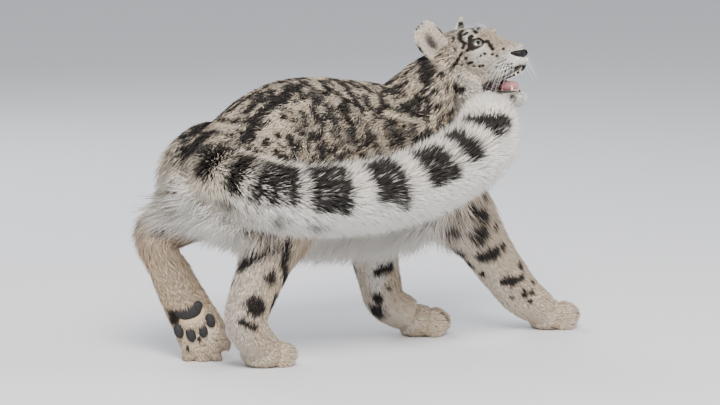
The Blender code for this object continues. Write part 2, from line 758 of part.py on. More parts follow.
def floor_centre(objects):
    """The point on the floor under the middle of the whole animal."""
    points = [v.co for obj in objects for v in obj.data.vertices]
    low, high = [[pick(p[i] for p in points) for i in range(3)] for pick in (min, max)]
    return Vector(((low[0] + high[0]) / 2, (low[1] + high[1]) / 2, 0))


def finish(obj, name, finish_name, centre):
    obj.name = name
    obj.data.name = name
    obj.data.transform(Matrix.Translation(-centre))
    obj.data.materials.clear()
    obj.data.materials.append(material(finish_name))
    obj.data.shade_flat()


def main():
    clear_scene()
    body = make_body()
    head = make_head()
    pieces = add_face_parts(head)
    ears = []
    for side in (1, -1):
        ear = joined("ear", [ear_shape(side)])
        ear.data.transform(head_frame())
        ears.append(ear)
    combine(body, [head, *ears], "UNION")
    combine(body, make_locks(body), "UNION")
    combine(body, [floor_block(), *blades()], "DIFFERENCE")
    nodes = part_into_nodes(body)
    finishes = {"nose": "nose_leather", "tongue": "tongue", "eye_left": "eye", "eye_right": "eye"}
    nodes.update(pieces)
    centre = floor_centre(nodes.values())
    for name, obj in nodes.items():
        finish(obj, name, finishes.get(name, "coat"), centre)


main()
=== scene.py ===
import math

import bmesh
import bpy
import numpy as np
from mathutils import Matrix, Vector
from mathutils.bvhtree import BVHTree


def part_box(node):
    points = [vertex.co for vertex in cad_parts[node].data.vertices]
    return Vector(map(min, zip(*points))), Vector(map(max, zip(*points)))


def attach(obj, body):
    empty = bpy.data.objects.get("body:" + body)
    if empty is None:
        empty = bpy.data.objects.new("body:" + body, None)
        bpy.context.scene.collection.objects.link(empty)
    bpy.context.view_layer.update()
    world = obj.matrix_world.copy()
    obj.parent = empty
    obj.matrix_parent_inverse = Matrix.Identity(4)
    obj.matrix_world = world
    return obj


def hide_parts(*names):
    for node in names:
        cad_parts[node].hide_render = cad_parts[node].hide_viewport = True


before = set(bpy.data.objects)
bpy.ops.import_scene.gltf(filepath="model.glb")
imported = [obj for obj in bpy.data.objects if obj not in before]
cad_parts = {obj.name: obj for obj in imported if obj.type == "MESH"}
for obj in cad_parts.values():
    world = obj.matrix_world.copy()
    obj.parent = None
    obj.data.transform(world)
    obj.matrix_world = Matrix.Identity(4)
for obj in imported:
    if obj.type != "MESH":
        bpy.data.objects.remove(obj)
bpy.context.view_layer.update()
print("frame loaded")

# Snow leopard in mid-step: every shape is made in the body's own places, in metres, then moved onto the frame
scene = bpy.context.scene
sides = (1, -1)    # left and right
look = {
    "seed": 11,
    "overFloor": 0.0004,    # the lowest place of any piece, over the floor
    "tuftsOverFloor": 0.0006,
}
body = {
    "voxel": 0.0052,
    "smoothing": 8,
    "coatDepth": 0.011,    # the skin lies this far under the solids' surface
    "pawCoatDepth": 0.003,
    "legCoatLess": 0.55,
}
# The head faces this way, in degrees, from its nose tip
head = {
    "noseTip": Vector((0.565, -0.260, 0.645)),
    "heading": -73,
    "pitch": 26,
    "voxel": 0.0018,
    "smoothing": 12,
}
# Left eye, in the head's own places: forward, left and up from the nose tip; the right one mirrors it
eye = {
    "place": Vector((-0.085, 0.0345, 0.056)),
    "aim": Vector((0.80, 0.52, 0.22)),
    "radius": 0.0145,
    "lidThick": 0.0038,
    "play": 0.0004,
    "opening": (0.030, 0.0136, 0.0104),
    "rimHalf": (0.0128, 0.0098),
    "rimLean": 0.18,
    "rimOver": 0.0010,
    "rimRadius": 0.0023,
    "rimSteps": 40,
}

# Trunk: place along and across, top, underside and half width
trunk = (
    (-0.170, 0.000, 0.462, 0.395, 0.036),
    (-0.140, 0.000, 0.500, 0.350, 0.082),
    (-0.070, 0.000, 0.545, 0.305, 0.116),
    (0.000, 0.002, 0.581, 0.282, 0.124),
    (0.080, 0.006, 0.602, 0.262, 0.120),
    (0.170, 0.006, 0.604, 0.248, 0.121),
    (0.270, 0.000, 0.593, 0.240, 0.127),
    (0.360, -0.020, 0.579, 0.240, 0.127),
    (0.430, -0.050, 0.560, 0.262, 0.116),
    (0.490, -0.085, 0.528, 0.305, 0.094),
    (0.530, -0.105, 0.488, 0.350, 0.062),
)
# Neck: centre, half width and half depth
neck = (
    ((0.385, -0.035, 0.455), 0.108, 0.120),
    ((0.430, -0.060, 0.510), 0.094, 0.098),
    ((0.475, -0.085, 0.565), 0.080, 0.082),
    ((0.508, -0.110, 0.612), 0.056, 0.058),
)
# Limbs: the way the front faces, then centre, half width and half depth from the top down
limbs = {
    "hindRight": {
        "front": (1, 0, 0),
        "rows": (
            ((-0.035, -0.070, 0.460), 0.066, 0.098),
            ((-0.035, -0.095, 0.380), 0.070, 0.110),
            ((-0.038, -0.105, 0.305), 0.062, 0.084),
            ((-0.078, -0.105, 0.240), 0.055, 0.064),
            ((-0.110, -0.100, 0.175), 0.048, 0.054),
            ((-0.136, -0.099, 0.118), 0.045, 0.048),
            ((-0.118, -0.095, 0.075), 0.044, 0.042),
            ((-0.080, -0.088, 0.042), 0.044, 0.036),
        ),
    },
    "hindLeft": {
        "front": (0.72, 0.69, -0.1),
        "rows": (
            ((-0.030, 0.070, 0.460), 0.066, 0.098),
            ((-0.030, 0.100, 0.385), 0.070, 0.108),
            ((-0.055, 0.125, 0.325), 0.064, 0.086),
            ((-0.120, 0.138, 0.290), 0.053, 0.058),
            ((-0.170, 0.140, 0.262), 0.044, 0.046),
            ((-0.160, 0.116, 0.200), 0.044, 0.036),
            ((-0.137, 0.092, 0.130), 0.049, 0.034),
            ((-0.117, 0.070, 0.075), 0.053, 0.032),
        ),
    },
    "foreRight": {
        "front": (0.9, -0.3, 0.3),
        "rows": (
            ((0.390, -0.110, 0.450), 0.060, 0.085),
            ((0.435, -0.130, 0.370), 0.062, 0.080),
            ((0.496, -0.155, 0.275), 0.054, 0.068),
            ((0.553, -0.160, 0.203), 0.047, 0.058),
            ((0.612, -0.163, 0.137), 0.044, 0.052),
            ((0.664, -0.166, 0.086), 0.044, 0.048),
            ((0.715, -0.177, 0.050), 0.046, 0.040),
        ),
    },
    "foreLeft": {
        "front": (0.9, -0.42, 0),
        "rows": (
            ((0.415, 0.035, 0.450), 0.060, 0.080),
            ((0.418, 0.048, 0.370), 0.062, 0.078),
            ((0.392, 0.048, 0.275), 0.054, 0.066),
            ((0.386, 0.030, 0.200), 0.049, 0.055),
            ((0.384, 0.010, 0.135), 0.045, 0.049),
            ((0.390, -0.004, 0.085), 0.044, 0.045),
            ((0.430, -0.025, 0.052), 0.046, 0.040),
        ),
    },
}
# Ball of each foot, the way its toes point, the way its back faces and half its height
paws = {
    "hindRight": ((-0.068, -0.086, 0.029), (0.990, -0.139, 0), (0, 0, 1), 0.029),
    "foreRight": ((0.742, -0.184, 0.034), (0.914, -0.407, 0), (0, 0, 1), 0.034),
    "foreLeft": ((0.462, -0.040, 0.035), (0.866, -0.500, 0), (0, 0, 1), 0.035),
    "hindLeft": ((-0.112, 0.065, 0.056), (0.22, -0.24, -0.95), (0.72, 0.69, -0.02), 0.028),
}
# Muscles of the thighs, shoulders and chest: centre and radii
masses = (
    ((-0.066, 0.088, 0.405), (0.118, 0.066, 0.112)),
    ((-0.055, -0.074, 0.410), (0.108, 0.060, 0.105)),
    ((-0.100, 0.112, 0.345), (0.070, 0.050, 0.055)),
    ((0.385, 0.040, 0.430), (0.080, 0.066, 0.110)),
    ((0.385, -0.110, 0.430), (0.082, 0.062, 0.110)),
    ((0.505, -0.085, 0.440), (0.050, 0.070, 0.100)),
    ((0.530, -0.150, 0.470), (0.045, 0.055, 0.080)),
)
# Middle line of the tail, from its root to its tip
tail = (
    (-0.095, 0.000, 0.430),
    (-0.150, -0.030, 0.432),
    (-0.168, -0.100, 0.405),
    (-0.125, -0.185, 0.376),
    (-0.030, -0.240, 0.366),
    (0.075, -0.265, 0.368),
    (0.185, -0.283, 0.382),
    (0.285, -0.296, 0.412),
    (0.360, -0.306, 0.447),
    (0.397, -0.303, 0.479),
    (0.404, -0.299, 0.501),
)
tailCore = 0.046    # radius of the tail under its hair


# Rows read from a smooth curve through the given rows
def eased(rows, per=4):
    rows = np.array(rows, float)
    ends = np.vstack([2 * rows[0] - rows[1], rows, 2 * rows[-1] - rows[-2]])
    out = []
    for i in range(1, len(rows)):
        a, b, c, d = ends[i - 1:i + 3]
        for t in np.arange(per) / per:
            out.append(0.5 * (2 * b + (c - a) * t + (2 * a - 5 * b + 4 * c - d) * t * t
                              + (3 * b - a - 3 * c + d) * t ** 3))
    out.append(rows[-1])
    return np.array(out)


# Closed tube through rings of points
def ringTube(rings):
    count = len(rings[0])
    points = [tuple(p) for ring in rings for p in ring]
    faces = []
    for r in range(len(rings) - 1):
        for i in range(count):
            j = (i + 1) % count
            a, b = r * count, (r + 1) * count
            faces.append((a + i, a + j, b + j, b + i))
    faces.append(tuple(reversed(range(count))))
    faces.append(tuple(range((len(rings) - 1) * count, len(rings) * count)))
    return points, faces


# Tube of oval rings along centres, each deeper or wider as its row says
def limbShape(stations, front, around=28, per=6):
    rows = eased([(*c, w, d) for c, w, d in stations], per)
    centres = rows[:, :3]
    along = np.gradient(centres, axis=0)
    along /= np.linalg.norm(along, axis=1)[:, None]
    rings = []
    for centre, axis, (wide, deep) in zip(centres, along, rows[:, 3:]):
        depth = np.array(front, float) - axis * np.dot(front, axis)
        depth /= np.linalg.norm(depth)
        side = np.cross(axis, depth)
        turn = [math.tau * i / around for i in range(around)]
        rings.append([centre + side * wide * math.cos(t) + depth * deep * math.sin(t) for t in turn])
    return ringTube(rings)


# Ring across the trunk or head, widest at a share of its height
def eggSection(x, y, top, under, wide, around, belly=0.42, power=2.2):
    middle = under + (top - under) * belly
    ring = []
    for i in range(around):
        t = math.tau * i / around
        c, s = math.cos(t), math.sin(t)
        high = (top - middle) if s > 0 else (middle - under)
        ring.append((x, y + wide * math.copysign(abs(c) ** (2 / power), c),
                     middle + high * math.copysign(abs(s) ** (2 / power), s)))
    return ring


def ellipsoid(centre, radii, turn=None, detail=4):
    ball = bmesh.new()
    bmesh.ops.create_icosphere(ball, subdivisions=detail, radius=1)
    turn = turn or Matrix.Identity(3)
    spots = [Vector([c * r for c, r in zip(v.co, radii)]) for v in ball.verts]
    points = [tuple(Vector(centre) + turn @ spot) for spot in spots]
    faces = [tuple(v.index for v in face.verts) for face in ball.faces]
    ball.free()
    return points, faces


# Closed shells turned so that their faces point outwards
def faceOutward(mesh):
    work = bmesh.new()
    work.from_mesh(mesh)
    bmesh.ops.recalc_face_normals(work, faces=work.faces)
    work.to_mesh(mesh)
    work.free()


# One object from several closed shapes, faces outward
def newPiece(name, shapes):
    points, faces = [], []
    for shapePoints, shapeFaces in shapes:
        start = len(points)
        points.extend(shapePoints)
        faces.extend([tuple(i + start for i in face) for face in shapeFaces])
    mesh = bpy.data.meshes.new(name)
    mesh.from_pydata(points, [], faces)
    faceOutward(mesh)
    obj = bpy.data.objects.new(name, mesh)
    scene.collection.objects.link(obj)
    return obj


# Plain mesh in place of an object's modifiers
def applied(obj):
    graph = bpy.context.evaluated_depsgraph_get()
    mesh = bpy.data.meshes.new_from_object(obj.evaluated_get(graph))
    obj.modifiers.clear()
    obj.data = mesh
    return obj


# Overlapping shapes made one closed skin, then smoothed
def fused(obj, voxel, rounds):
    remesh = obj.modifiers.new("remesh", "REMESH")
    remesh.mode = "VOXEL"
    remesh.voxel_size = voxel
    smooth = obj.modifiers.new("smooth", "SMOOTH")
    smooth.factor = 0.5
    smooth.iterations = rounds
    return applied(obj)


# Cuts other objects out of one and removes them
def cutAway(obj, others):
    group = bpy.data.collections.new("cutters")
    scene.collection.children.link(group)
    for other in others:
        scene.collection.objects.unlink(other)
        group.objects.link(other)
    boolean = obj.modifiers.new("cut", "BOOLEAN")
    boolean.operation = "DIFFERENCE"
    boolean.solver = "MANIFOLD"
    boolean.operand_type = "COLLECTION"
    boolean.collection = group
    applied(obj)
    for other in others:
        bpy.data.objects.remove(other)
    bpy.data.collections.remove(group)


# Three numbers of every item of a mesh, such as a point's place
def readRows(items, field):
    flat = np.empty(len(items) * 3, np.float32)
    items.foreach_get(field, flat)
    return flat.reshape(-1, 3).astype(float)


def pointsOf(mesh):
    return readRows(mesh.vertices, "co")


def normalsOf(mesh):
    return readRows(mesh.vertex_normals, "vector")


def setPoints(mesh, points):
    mesh.vertices.foreach_set("co", np.asarray(points, np.float32).ravel())
    mesh.update()


def smoothShade(mesh):
    mesh.polygons.foreach_set("use_smooth", [True] * len(mesh.polygons))


# Head's own directions: forward, left and up from the nose tip
pitch, heading = math.radians(head["pitch"]), math.radians(head["heading"])
level = math.cos(pitch)
headForward = Vector((level * math.cos(heading), level * math.sin(heading), math.sin(pitch)))
headLeft = Vector((-math.sin(heading), math.cos(heading), 0))
headTurn = Matrix((headForward, headLeft, headForward.cross(headLeft))).transposed()
headPlace = Matrix.Translation(head["noseTip"]) @ headTurn.to_4x4()


# A place of the left side as it is on this side
def mirrored(place, side):
    return Vector((place[0], place[1] * side, place[2]))


# Turn that carries forward, left and up onto a foot's own directions
def turnTo(forward, up):
    forward = Vector(forward).normalized()
    up = (Vector(up) - forward * Vector(up).dot(forward)).normalized()
    return Matrix((forward, up.cross(forward), up)).transposed()


# Toes: place aside and ahead of the ball, and half width
paw = {
    "toes": ((-0.0385, 0.020, 0.0135), (-0.0135, 0.038, 0.0150),
             (0.0135, 0.038, 0.0150), (0.0385, 0.020, 0.0135)),
    "toeLong": 0.030,
    "toeHigh": 0.88,
    "toeDrop": 0.004,
    "toeSplay": 7,
    "sole": (0.044, 0.050),
    "soleBack": 0.010,
    "soleOver": 0.001,
    "liftedSpread": 1.10,
}


def pawShapes(name):
    ball, forward, up, high = paws[name]
    turn = turnTo(forward, up)
    long, wide = paw["sole"]
    if name == "hindLeft":
        wide *= paw["liftedSpread"]
    place = Vector(ball) + turn @ Vector((-paw["soleBack"], 0, 0))
    shapes = [ellipsoid(place, (long, wide, high + paw["soleOver"]), turn)]
    for aside, ahead, half in paw["toes"]:
        splay = turn @ Matrix.Rotation(aside * paw["toeSplay"], 3, "Z")
        place = Vector(ball) + turn @ Vector((ahead, aside, -paw["toeDrop"]))
        shapes.append(ellipsoid(place, (paw["toeLong"], half, high * paw["toeHigh"]), splay))
    return shapes


# Where the body's places lie on the frame: the right eye's ball is the same in both
eyeLow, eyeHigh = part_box("eye_right")
eyeBody = headPlace @ mirrored(eye["place"], -1)
shift = (Vector(eyeLow) + Vector(eyeHigh)) / 2 - eyeBody
print("shift", [round(c, 4) for c in shift])

# Skin of the trunk, neck, limbs and tail; the neck's end is rounded off inside the head
neckEnd = (((-0.142, -0.004, 0.040), 0.036), ((-0.130, 0.0, 0.036), 0.014))
nape = ((-0.202, 0, -0.010), (0.040, 0.058, 0.064))
bodyShapes = [ringTube([eggSection(*row, around=40) for row in eased(trunk, per=6)])]
neckRows = [*neck, *((tuple(headPlace @ Vector(place)), radius, radius) for place, radius in neckEnd)]
bodyShapes.append(limbShape(neckRows, front=(0.7, -0.5, -0.5)))
for name, limb in limbs.items():
    bodyShapes.append(limbShape(limb["rows"], limb["front"]))
    bodyShapes += pawShapes(name)
bodyShapes += [ellipsoid(centre, radii) for centre, radii in masses]
bodyShapes.append(limbShape([(place, tailCore, tailCore) for place in tail], front=(0.3, 0.6, 0.8)))
bodyShapes.append(ellipsoid(headPlace @ Vector(nape[0]), nape[1], headTurn))
bodyShapes.append(ellipsoid(tail[-1], (tailCore,) * 3))
skin = fused(newPiece("skin", bodyShapes), body["voxel"], body["smoothing"])
print("body skin", len(skin.data.polygons), "faces")


# 0 below low, 1 above high, and a smooth rise between them
def ramp(value, low, high):
    t = np.clip((np.asarray(value) - low) / (high - low), 0, 1)
    return t * t * (3 - 2 * t)


# The same ways, each of length 1
def unit(vectors):
    return vectors / np.maximum(np.linalg.norm(vectors, axis=-1, keepdims=True), 1e-9)


# A smooth field of hills and hollows of about that size, from -1 to 1, made of a few waves
def ripple(points, size, seed):
    dice = np.random.default_rng(seed)
    total = np.zeros(len(points))
    for _ in range(9):
        way = unit(dice.normal(size=3)) * (math.tau / size) * dice.uniform(0.6, 1.5)
        total += np.sin(points @ way + dice.uniform(0, math.tau))
    return np.clip(total / 3.2, -1, 1)


# Middle lines of the animal: places, the way the coat lies there and the radius, for each region
regions = {}


def addRegion(name, places, radii, way=1):
    rows = eased([(*p, r) for p, r in zip(places, radii)], per=8)
    along = unit(np.gradient(rows[:, :3], axis=0)) * way
    run = np.concatenate([[0], np.cumsum(np.linalg.norm(np.diff(rows[:, :3], axis=0), axis=1))])
    regions[name] = {"places": rows[:, :3], "lie": along, "radii": rows[:, 3], "run": run / run[-1]}


trunkLine = [(x, y, (top + under) / 2) for x, y, top, under, wide in trunk[1:-1]]
addRegion("trunk", trunkLine, [(top - under) / 2 for x, y, top, under, wide in trunk[1:-1]], way=-1)
neckLine = [centre for centre, wide, deep in neck[1:]] + [tuple(headPlace @ Vector((-0.165, 0, 0.0)))]
addRegion("neck", neckLine, [0.094, 0.080, 0.074, 0.074], way=-1)
for name, limb in limbs.items():
    centres, halves, depths = zip(*limb["rows"][1:])
    addRegion(name, centres, halves)
    ball = Vector(paws[name][0])
    tip = ball + Vector(paws[name][1]).normalized() * 0.05
    addRegion(name + "Paw", [paws[name][0], (ball + tip) / 2, tip], [0.05, 0.045, 0.03])
addRegion("tail", tail, [tailCore] * len(tail))
regionNames = list(regions)


# Index of the nearest of some places for each point, and how far off it is; blocks keep the memory small
def nearestOf(points, places, scale=1.0, block=20000):
    index, far = [], []
    for start in range(0, len(points), block):
        gaps = np.linalg.norm(points[start:start + block, None] - places[None], axis=2) / scale
        index.append(gaps.argmin(1))
        far.append(gaps.min(1))
    return np.concatenate(index), np.concatenate(far)


# Region, share of its length and lie of the coat for each point of the body, and every region's weight
def placed(points, sharpness=9):
    found = [nearestOf(points, region["places"], region["radii"]) for region in regions.values()]
    index = np.stack([row[0] for row in found], 1)
    nearest = np.stack([row[1] for row in found], 1)
    best = nearest.argmin(1)
    weight = np.exp(-sharpness * (nearest - nearest.min(1, keepdims=True)))
    weight /= weight.sum(1, keepdims=True)
    lie = np.zeros((len(points), 3))
    share = np.zeros(len(points))
    for r, region in enumerate(regions.values()):
        lie += weight[:, r:r + 1] * region["lie"][index[:, r]]
        share = np.where(best == r, region["run"][index[:, r]], share)
    return best, share, lie, {name: weight[:, r] for r, name in enumerate(regionNames)}


# How far a point belongs to the legs and paws, or to the paws alone
def legShare(shares, legs=True):
    return sum(v for k, v in shares.items() if k.endswith("Paw") or (legs and k in limbs))


# The skin lies under the solids by the depth of its coat, less on the lower legs and at the soles
points, normals = pointsOf(skin.data), normalsOf(skin.data)
shares = placed(points)[3]
pawPart, legPart = legShare(shares, legs=False), legShare(shares)
low = ramp(points[:, 2], 0.30, 0.12)
depth = body["coatDepth"] * (1 - pawPart) * (1 - body["legCoatLess"] * legPart * low) * (1 - shares["tail"])
depth = (depth + body["pawCoatDepth"] * pawPart) * ramp(points[:, 2], 0.0, 0.02)
setPoints(skin.data, points - normals * depth[:, None])
smoothShade(skin.data)
print("skin set in by its coat")

# Head: skull, jaw and face masses in the head's own directions, fused, then opened for eyes and nostrils
# Skull: place ahead of the nose tip, top, underside and half width
skull = (
    (-0.002, 0.013, 0.000, 0.010),
    (-0.010, 0.027, -0.016, 0.018),
    (-0.021, 0.037, -0.027, 0.026),
    (-0.036, 0.049, -0.032, 0.031),
    (-0.051, 0.069, -0.034, 0.034),
    (-0.063, 0.085, -0.035, 0.040),
    (-0.079, 0.097, -0.038, 0.048),
    (-0.100, 0.107, -0.045, 0.058),
    (-0.125, 0.117, -0.056, 0.067),
    (-0.152, 0.121, -0.068, 0.071),
    (-0.182, 0.113, -0.068, 0.067),
    (-0.212, 0.082, -0.050, 0.050),
)
# Jaw: place ahead, height, half width and half height
jaw = (
    (-0.152, -0.045, 0.048, 0.030),
    (-0.122, -0.059, 0.041, 0.022),
    (-0.095, -0.070, 0.033, 0.018),
    (-0.070, -0.079, 0.025, 0.015),
    (-0.056, -0.083, 0.015, 0.011),
)
faceMasses = (
    ((-0.038, 0.018, -0.009), (0.027, 0.018, 0.020)),    # whisker pads
    ((-0.060, 0.022, -0.016), (0.028, 0.018, 0.017)),
    ((-0.100, 0.038, 0.020), (0.045, 0.028, 0.036)),    # cheekbones
    ((-0.145, 0.046, -0.020), (0.044, 0.034, 0.055)),    # cheeks
    ((-0.080, 0.026, 0.076), (0.026, 0.017, 0.012)),    # brows
    ((-0.060, 0.004, -0.086), (0.014, 0.010, 0.009)),    # chin
    ((-0.016, 0.004, 0.0155), (0.019, 0.013, 0.0105)),    # end of the nose's bridge
    ((-0.012, 0.007, -0.017), (0.012, 0.009, 0.009)),    # upper lip in front
    (eye["place"], (eye["radius"] + eye["lidThick"],) * 3),    # lids
)
nostrilHole = ((0.000, 0.0085, -0.001), (0.010, 0.0040, 0.0030))
lipCleft = ((-0.010, 0, -0.028), (0.020, 0.0012, 0.016))


def inHead(name, shapes):
    obj = newPiece(name, shapes)
    obj.data.transform(headPlace)
    return obj


# Piece of the head with smooth shading, fused into one skin where a voxel size is given
def headPiece(name, shapes, voxel=0.0, rounds=0):
    obj = inHead(name, shapes)
    if voxel:
        fused(obj, voxel, rounds)
    smoothShade(obj.data)
    return obj


def mirroredPath(path, side):
    return [mirrored(place, side) for place in path]


# Middle, aim and turn of one eye
def eyeFrame(side):
    aim = mirrored(eye["aim"], side).normalized()
    return mirrored(eye["place"], side), aim, aim.to_track_quat("X", "Z").to_matrix()


skullRings = [eggSection(x, 0, top, under, wide, around=48, belly=0.40)
              for x, top, under, wide in eased(skull, per=5)]
jawRings = [eggSection(x, 0, z + high, z - high, wide, around=36, belly=0.5)
            for x, z, wide, high in eased(jaw, per=5)]
headShapes = [ringTube(skullRings), ringTube(jawRings)]
for centre, radii in faceMasses:
    headShapes += [ellipsoid(mirrored(centre, side), radii) for side in sides]
headSkin = fused(inHead("headSkin", headShapes), head["voxel"], head["smoothing"])
hollows = []
for side in sides:
    eyeCentre, aim, turn = eyeFrame(side)
    hollows.append(ellipsoid(eyeCentre, (eye["radius"] + eye["play"],) * 3))
    hollows.append(ellipsoid(eyeCentre + aim * eye["radius"], eye["opening"], turn))
    hollows.append(ellipsoid(mirrored(nostrilHole[0], side), nostrilHole[1]))
hollows.append(ellipsoid(*lipCleft))
cutAway(headSkin, [inHead("hollow", [shape]) for shape in hollows])
print("head skin", len(headSkin.data.polygons), "faces")

# The face's skin too lies under the solids by its coat, thinnest round the eyes and thickest at the cheeks
faceCoat = {
    "thin": 0.0012,
    "more": 0.0085,
    "moreFrom": (0.05, 0.15),
    "bareEye": (0.017, 0.036),
}
toHead = np.array(headPlace.inverted())


# The same points in the head's own places
def headPlaces(points):
    return points @ toHead[:3, :3].T + toHead[:3, 3]


# Head places with the right half folded onto the left, and their distance from the eye
def folded(local):
    fold = local * np.array([1, 0, 1]) + np.abs(local) * np.array([0, 1, 0])
    return fold, np.linalg.norm(fold - np.array(eye["place"]), axis=1)


points, normals = pointsOf(headSkin.data), normalsOf(headSkin.data)
local = headPlaces(points)
deep = faceCoat["thin"] + faceCoat["more"] * ramp(-local[:, 0], *faceCoat["moreFrom"])
deep *= ramp(folded(local)[1], *faceCoat["bareEye"])
setPoints(headSkin.data, points - normals * deep[:, None])
smoothShade(headSkin.data)

# Ears: cups of even wall from inside the head to the tip
ear = {
    "base": (-0.162, 0.056, 0.076),
    "tip": (-0.163, 0.100, 0.140),
    "face": (0.58, 0.80, 0.10),
    "width": 0.066,
    "deep": 0.016,
    "flatter": 0.75,    # how much of the cup's depth is gone at the tip
    "wall": 0.0028,
    "start": -0.20,    # the root lies inside the head
    "widest": 0.42,
    "rootWidth": 0.80,
    "across": 17,
    "along": 20,
}


# Base, length and three directions of an ear: up its axis, out of its open face and across
def earFrame(side):
    base, tip = mirrored(ear["base"], side), mirrored(ear["tip"], side)
    axis = (tip - base).normalized()
    face = mirrored(ear["face"], side)
    face = (face - axis * face.dot(axis)).normalized()
    return base, (tip - base).length, axis, face, axis.cross(face)


def earShape(side):
    base, long, axis, face, wide = earFrame(side)
    spans = [-1 + 2 * i / (ear["across"] - 1) for i in range(ear["across"])]
    wall = ear["wall"] * 0.5
    rings = []
    for r in range(ear["along"] + 1):
        part = ear["start"] + (1 - ear["start"]) * (r / ear["along"]) ** 0.85
        arch = math.sqrt(max(0.0, 1 - (max(0.0, part - ear["widest"]) / 0.60) ** 2))
        swell = ear["rootWidth"] + (1 - ear["rootWidth"]) * min(1, max(0.0, part) / ear["widest"])
        half = ear["width"] / 2 * arch * swell
        deep = ear["deep"] * (1 - ear["flatter"] * max(0.0, part)) * (half / (ear["width"] / 2)) ** 0.5
        middle = base + axis * part * long
        back = [middle + wide * half * u - face * (deep * (1 - u * u) + wall) for u in spans]
        front = [middle + wide * half * u * 0.94 - face * (deep * (1 - u * u) - wall) for u in spans]
        rings.append(back + front[::-1])
    return ringTube(rings)


ears = {side: headPiece("ear" + name, [earShape(side)]) for side, name in zip(sides, ("Left", "Right"))}


# A closed tube along a path, with a radius at each of its places
def bentTube(path, radii, around=8):
    path = np.array(path, float)
    along = unit(np.gradient(path, axis=0))
    side = Vector(along[0]).orthogonal()
    rings = []
    for centre, axis, radius in zip(path, along, radii):
        side = (side - Vector(axis) * side.dot(Vector(axis))).normalized()
        other = Vector(axis).cross(side)
        rings.append([Vector(centre) + (side * math.cos(t) + other * math.sin(t)) * max(radius, 0.00005)
                      for t in [math.tau * i / around for i in range(around)]])
    return ringTube(rings)


# Eyes, and the dark rims of their lids
eyes, rims = {}, []
for side, name in zip(sides, ("Left", "Right")):
    eyeCentre, aim, turn = eyeFrame(side)
    eyes[side] = headPiece("eye" + name, [ellipsoid(eyeCentre, (eye["radius"],) * 3, turn, detail=5)])
    edge = []
    for i in range(eye["rimSteps"] + 1):
        t = math.tau * i / eye["rimSteps"]
        lean = 1 - eye["rimLean"] * math.cos(t) * side
        flat = Vector((0, eye["rimHalf"][0] * math.cos(t), eye["rimHalf"][1] * math.sin(t) * lean))
        reach = math.sqrt(max(0.0, (eye["radius"] + eye["rimOver"]) ** 2 - flat.length_squared))
        edge.append(eyeCentre + turn @ Vector((reach, flat.y, flat.z)))
    rims.append(bentTube(edge, [eye["rimRadius"]] * len(edge)))
lidRims = headPiece("lidRims", rims)

# Nose leather: a ball with two wings, opened by comma-shaped nostrils
noseForm = {
    "ball": ((-0.0105, 0, -0.0010), (0.0120, 0.0135, 0.0095)),
    "wing": ((-0.002, 0.0055, -0.001), (-0.008, 0.0125, 0.001), (-0.015, 0.0185, 0.0045),
             (-0.0215, 0.0225, 0.0085)),
    "wingRadii": (0.0080, 0.0080, 0.0064, 0.0032),
    "comma": ((0.003, 0.0070, -0.0005), (-0.001, 0.0110, 0.0000), (-0.006, 0.0175, 0.0010),
              (-0.012, 0.0235, 0.0035)),
    "commaRadii": (0.0030, 0.0036, 0.0022, 0.0010),
    "around": 12,
    "voxel": 0.0009,
}
wings, commas = ([bentTube(mirroredPath(noseForm[part], side), noseForm[part + "Radii"], noseForm["around"])
                  for side in sides] for part in ("wing", "comma"))
nose = fused(inHead("nose", [ellipsoid(*noseForm["ball"]), *wings]), noseForm["voxel"], rounds=6)
cutAway(nose, [inHead("hollow", [comma]) for comma in commas])
smoothShade(nose.data)

# Tongue, from a flat back and a thick tip
tongueForm = {
    "tilt": Matrix.Rotation(math.radians(19), 3, "Y"),
    "back": ((-0.082, 0, -0.062), (0.034, 0.0150, 0.0075)),
    "tip": ((-0.066, 0, -0.054), (0.022, 0.0155, 0.0125)),
}
tongueShapes = [ellipsoid(*tongueForm[part], tongueForm["tilt"]) for part in ("back", "tip")]
tongue = headPiece("tongue", tongueShapes, voxel=0.0012, rounds=4)

# Lips: dark edges from the front to the corners of the mouth
lipForm = {
    "thin": 0.0020,
    "more": 0.0010,
    "upper": ((-0.010, 0.006, -0.022), (-0.022, 0.016, -0.029), (-0.040, 0.024, -0.031),
              (-0.062, 0.029, -0.032), (-0.085, 0.035, -0.030), (-0.106, 0.041, -0.030)),
    "lower": ((-0.050, 0.005, -0.074), (-0.055, 0.014, -0.070), (-0.072, 0.023, -0.062),
              (-0.090, 0.031, -0.050), (-0.103, 0.039, -0.036), (-0.108, 0.042, -0.030)),
}
lipShapes = []
for part in ("upper", "lower"):
    for side in sides:
        path = eased(mirroredPath(lipForm[part], side), per=6)
        swell = [math.sin(math.pi * i / (len(path) - 1)) for i in range(len(path))]
        lipShapes.append(bentTube(path, [lipForm["thin"] + lipForm["more"] * s for s in swell], around=10))
lips = headPiece("lips", lipShapes)

# Lining that closes the mouth behind the teeth, its dark colour painted shade deep in the mouth
liningForm = (
    ((-0.118, 0, -0.047), (0.036, 0.034, 0.020)),
    ((-0.096, 0.024, -0.042), (0.022, 0.009, 0.013)),
    ((-0.096, -0.024, -0.042), (0.022, 0.009, 0.013)),
)
shadeLining = headPiece("mouthShadeLining", [ellipsoid(*shape) for shape in liningForm], voxel=0.0018, rounds=4)

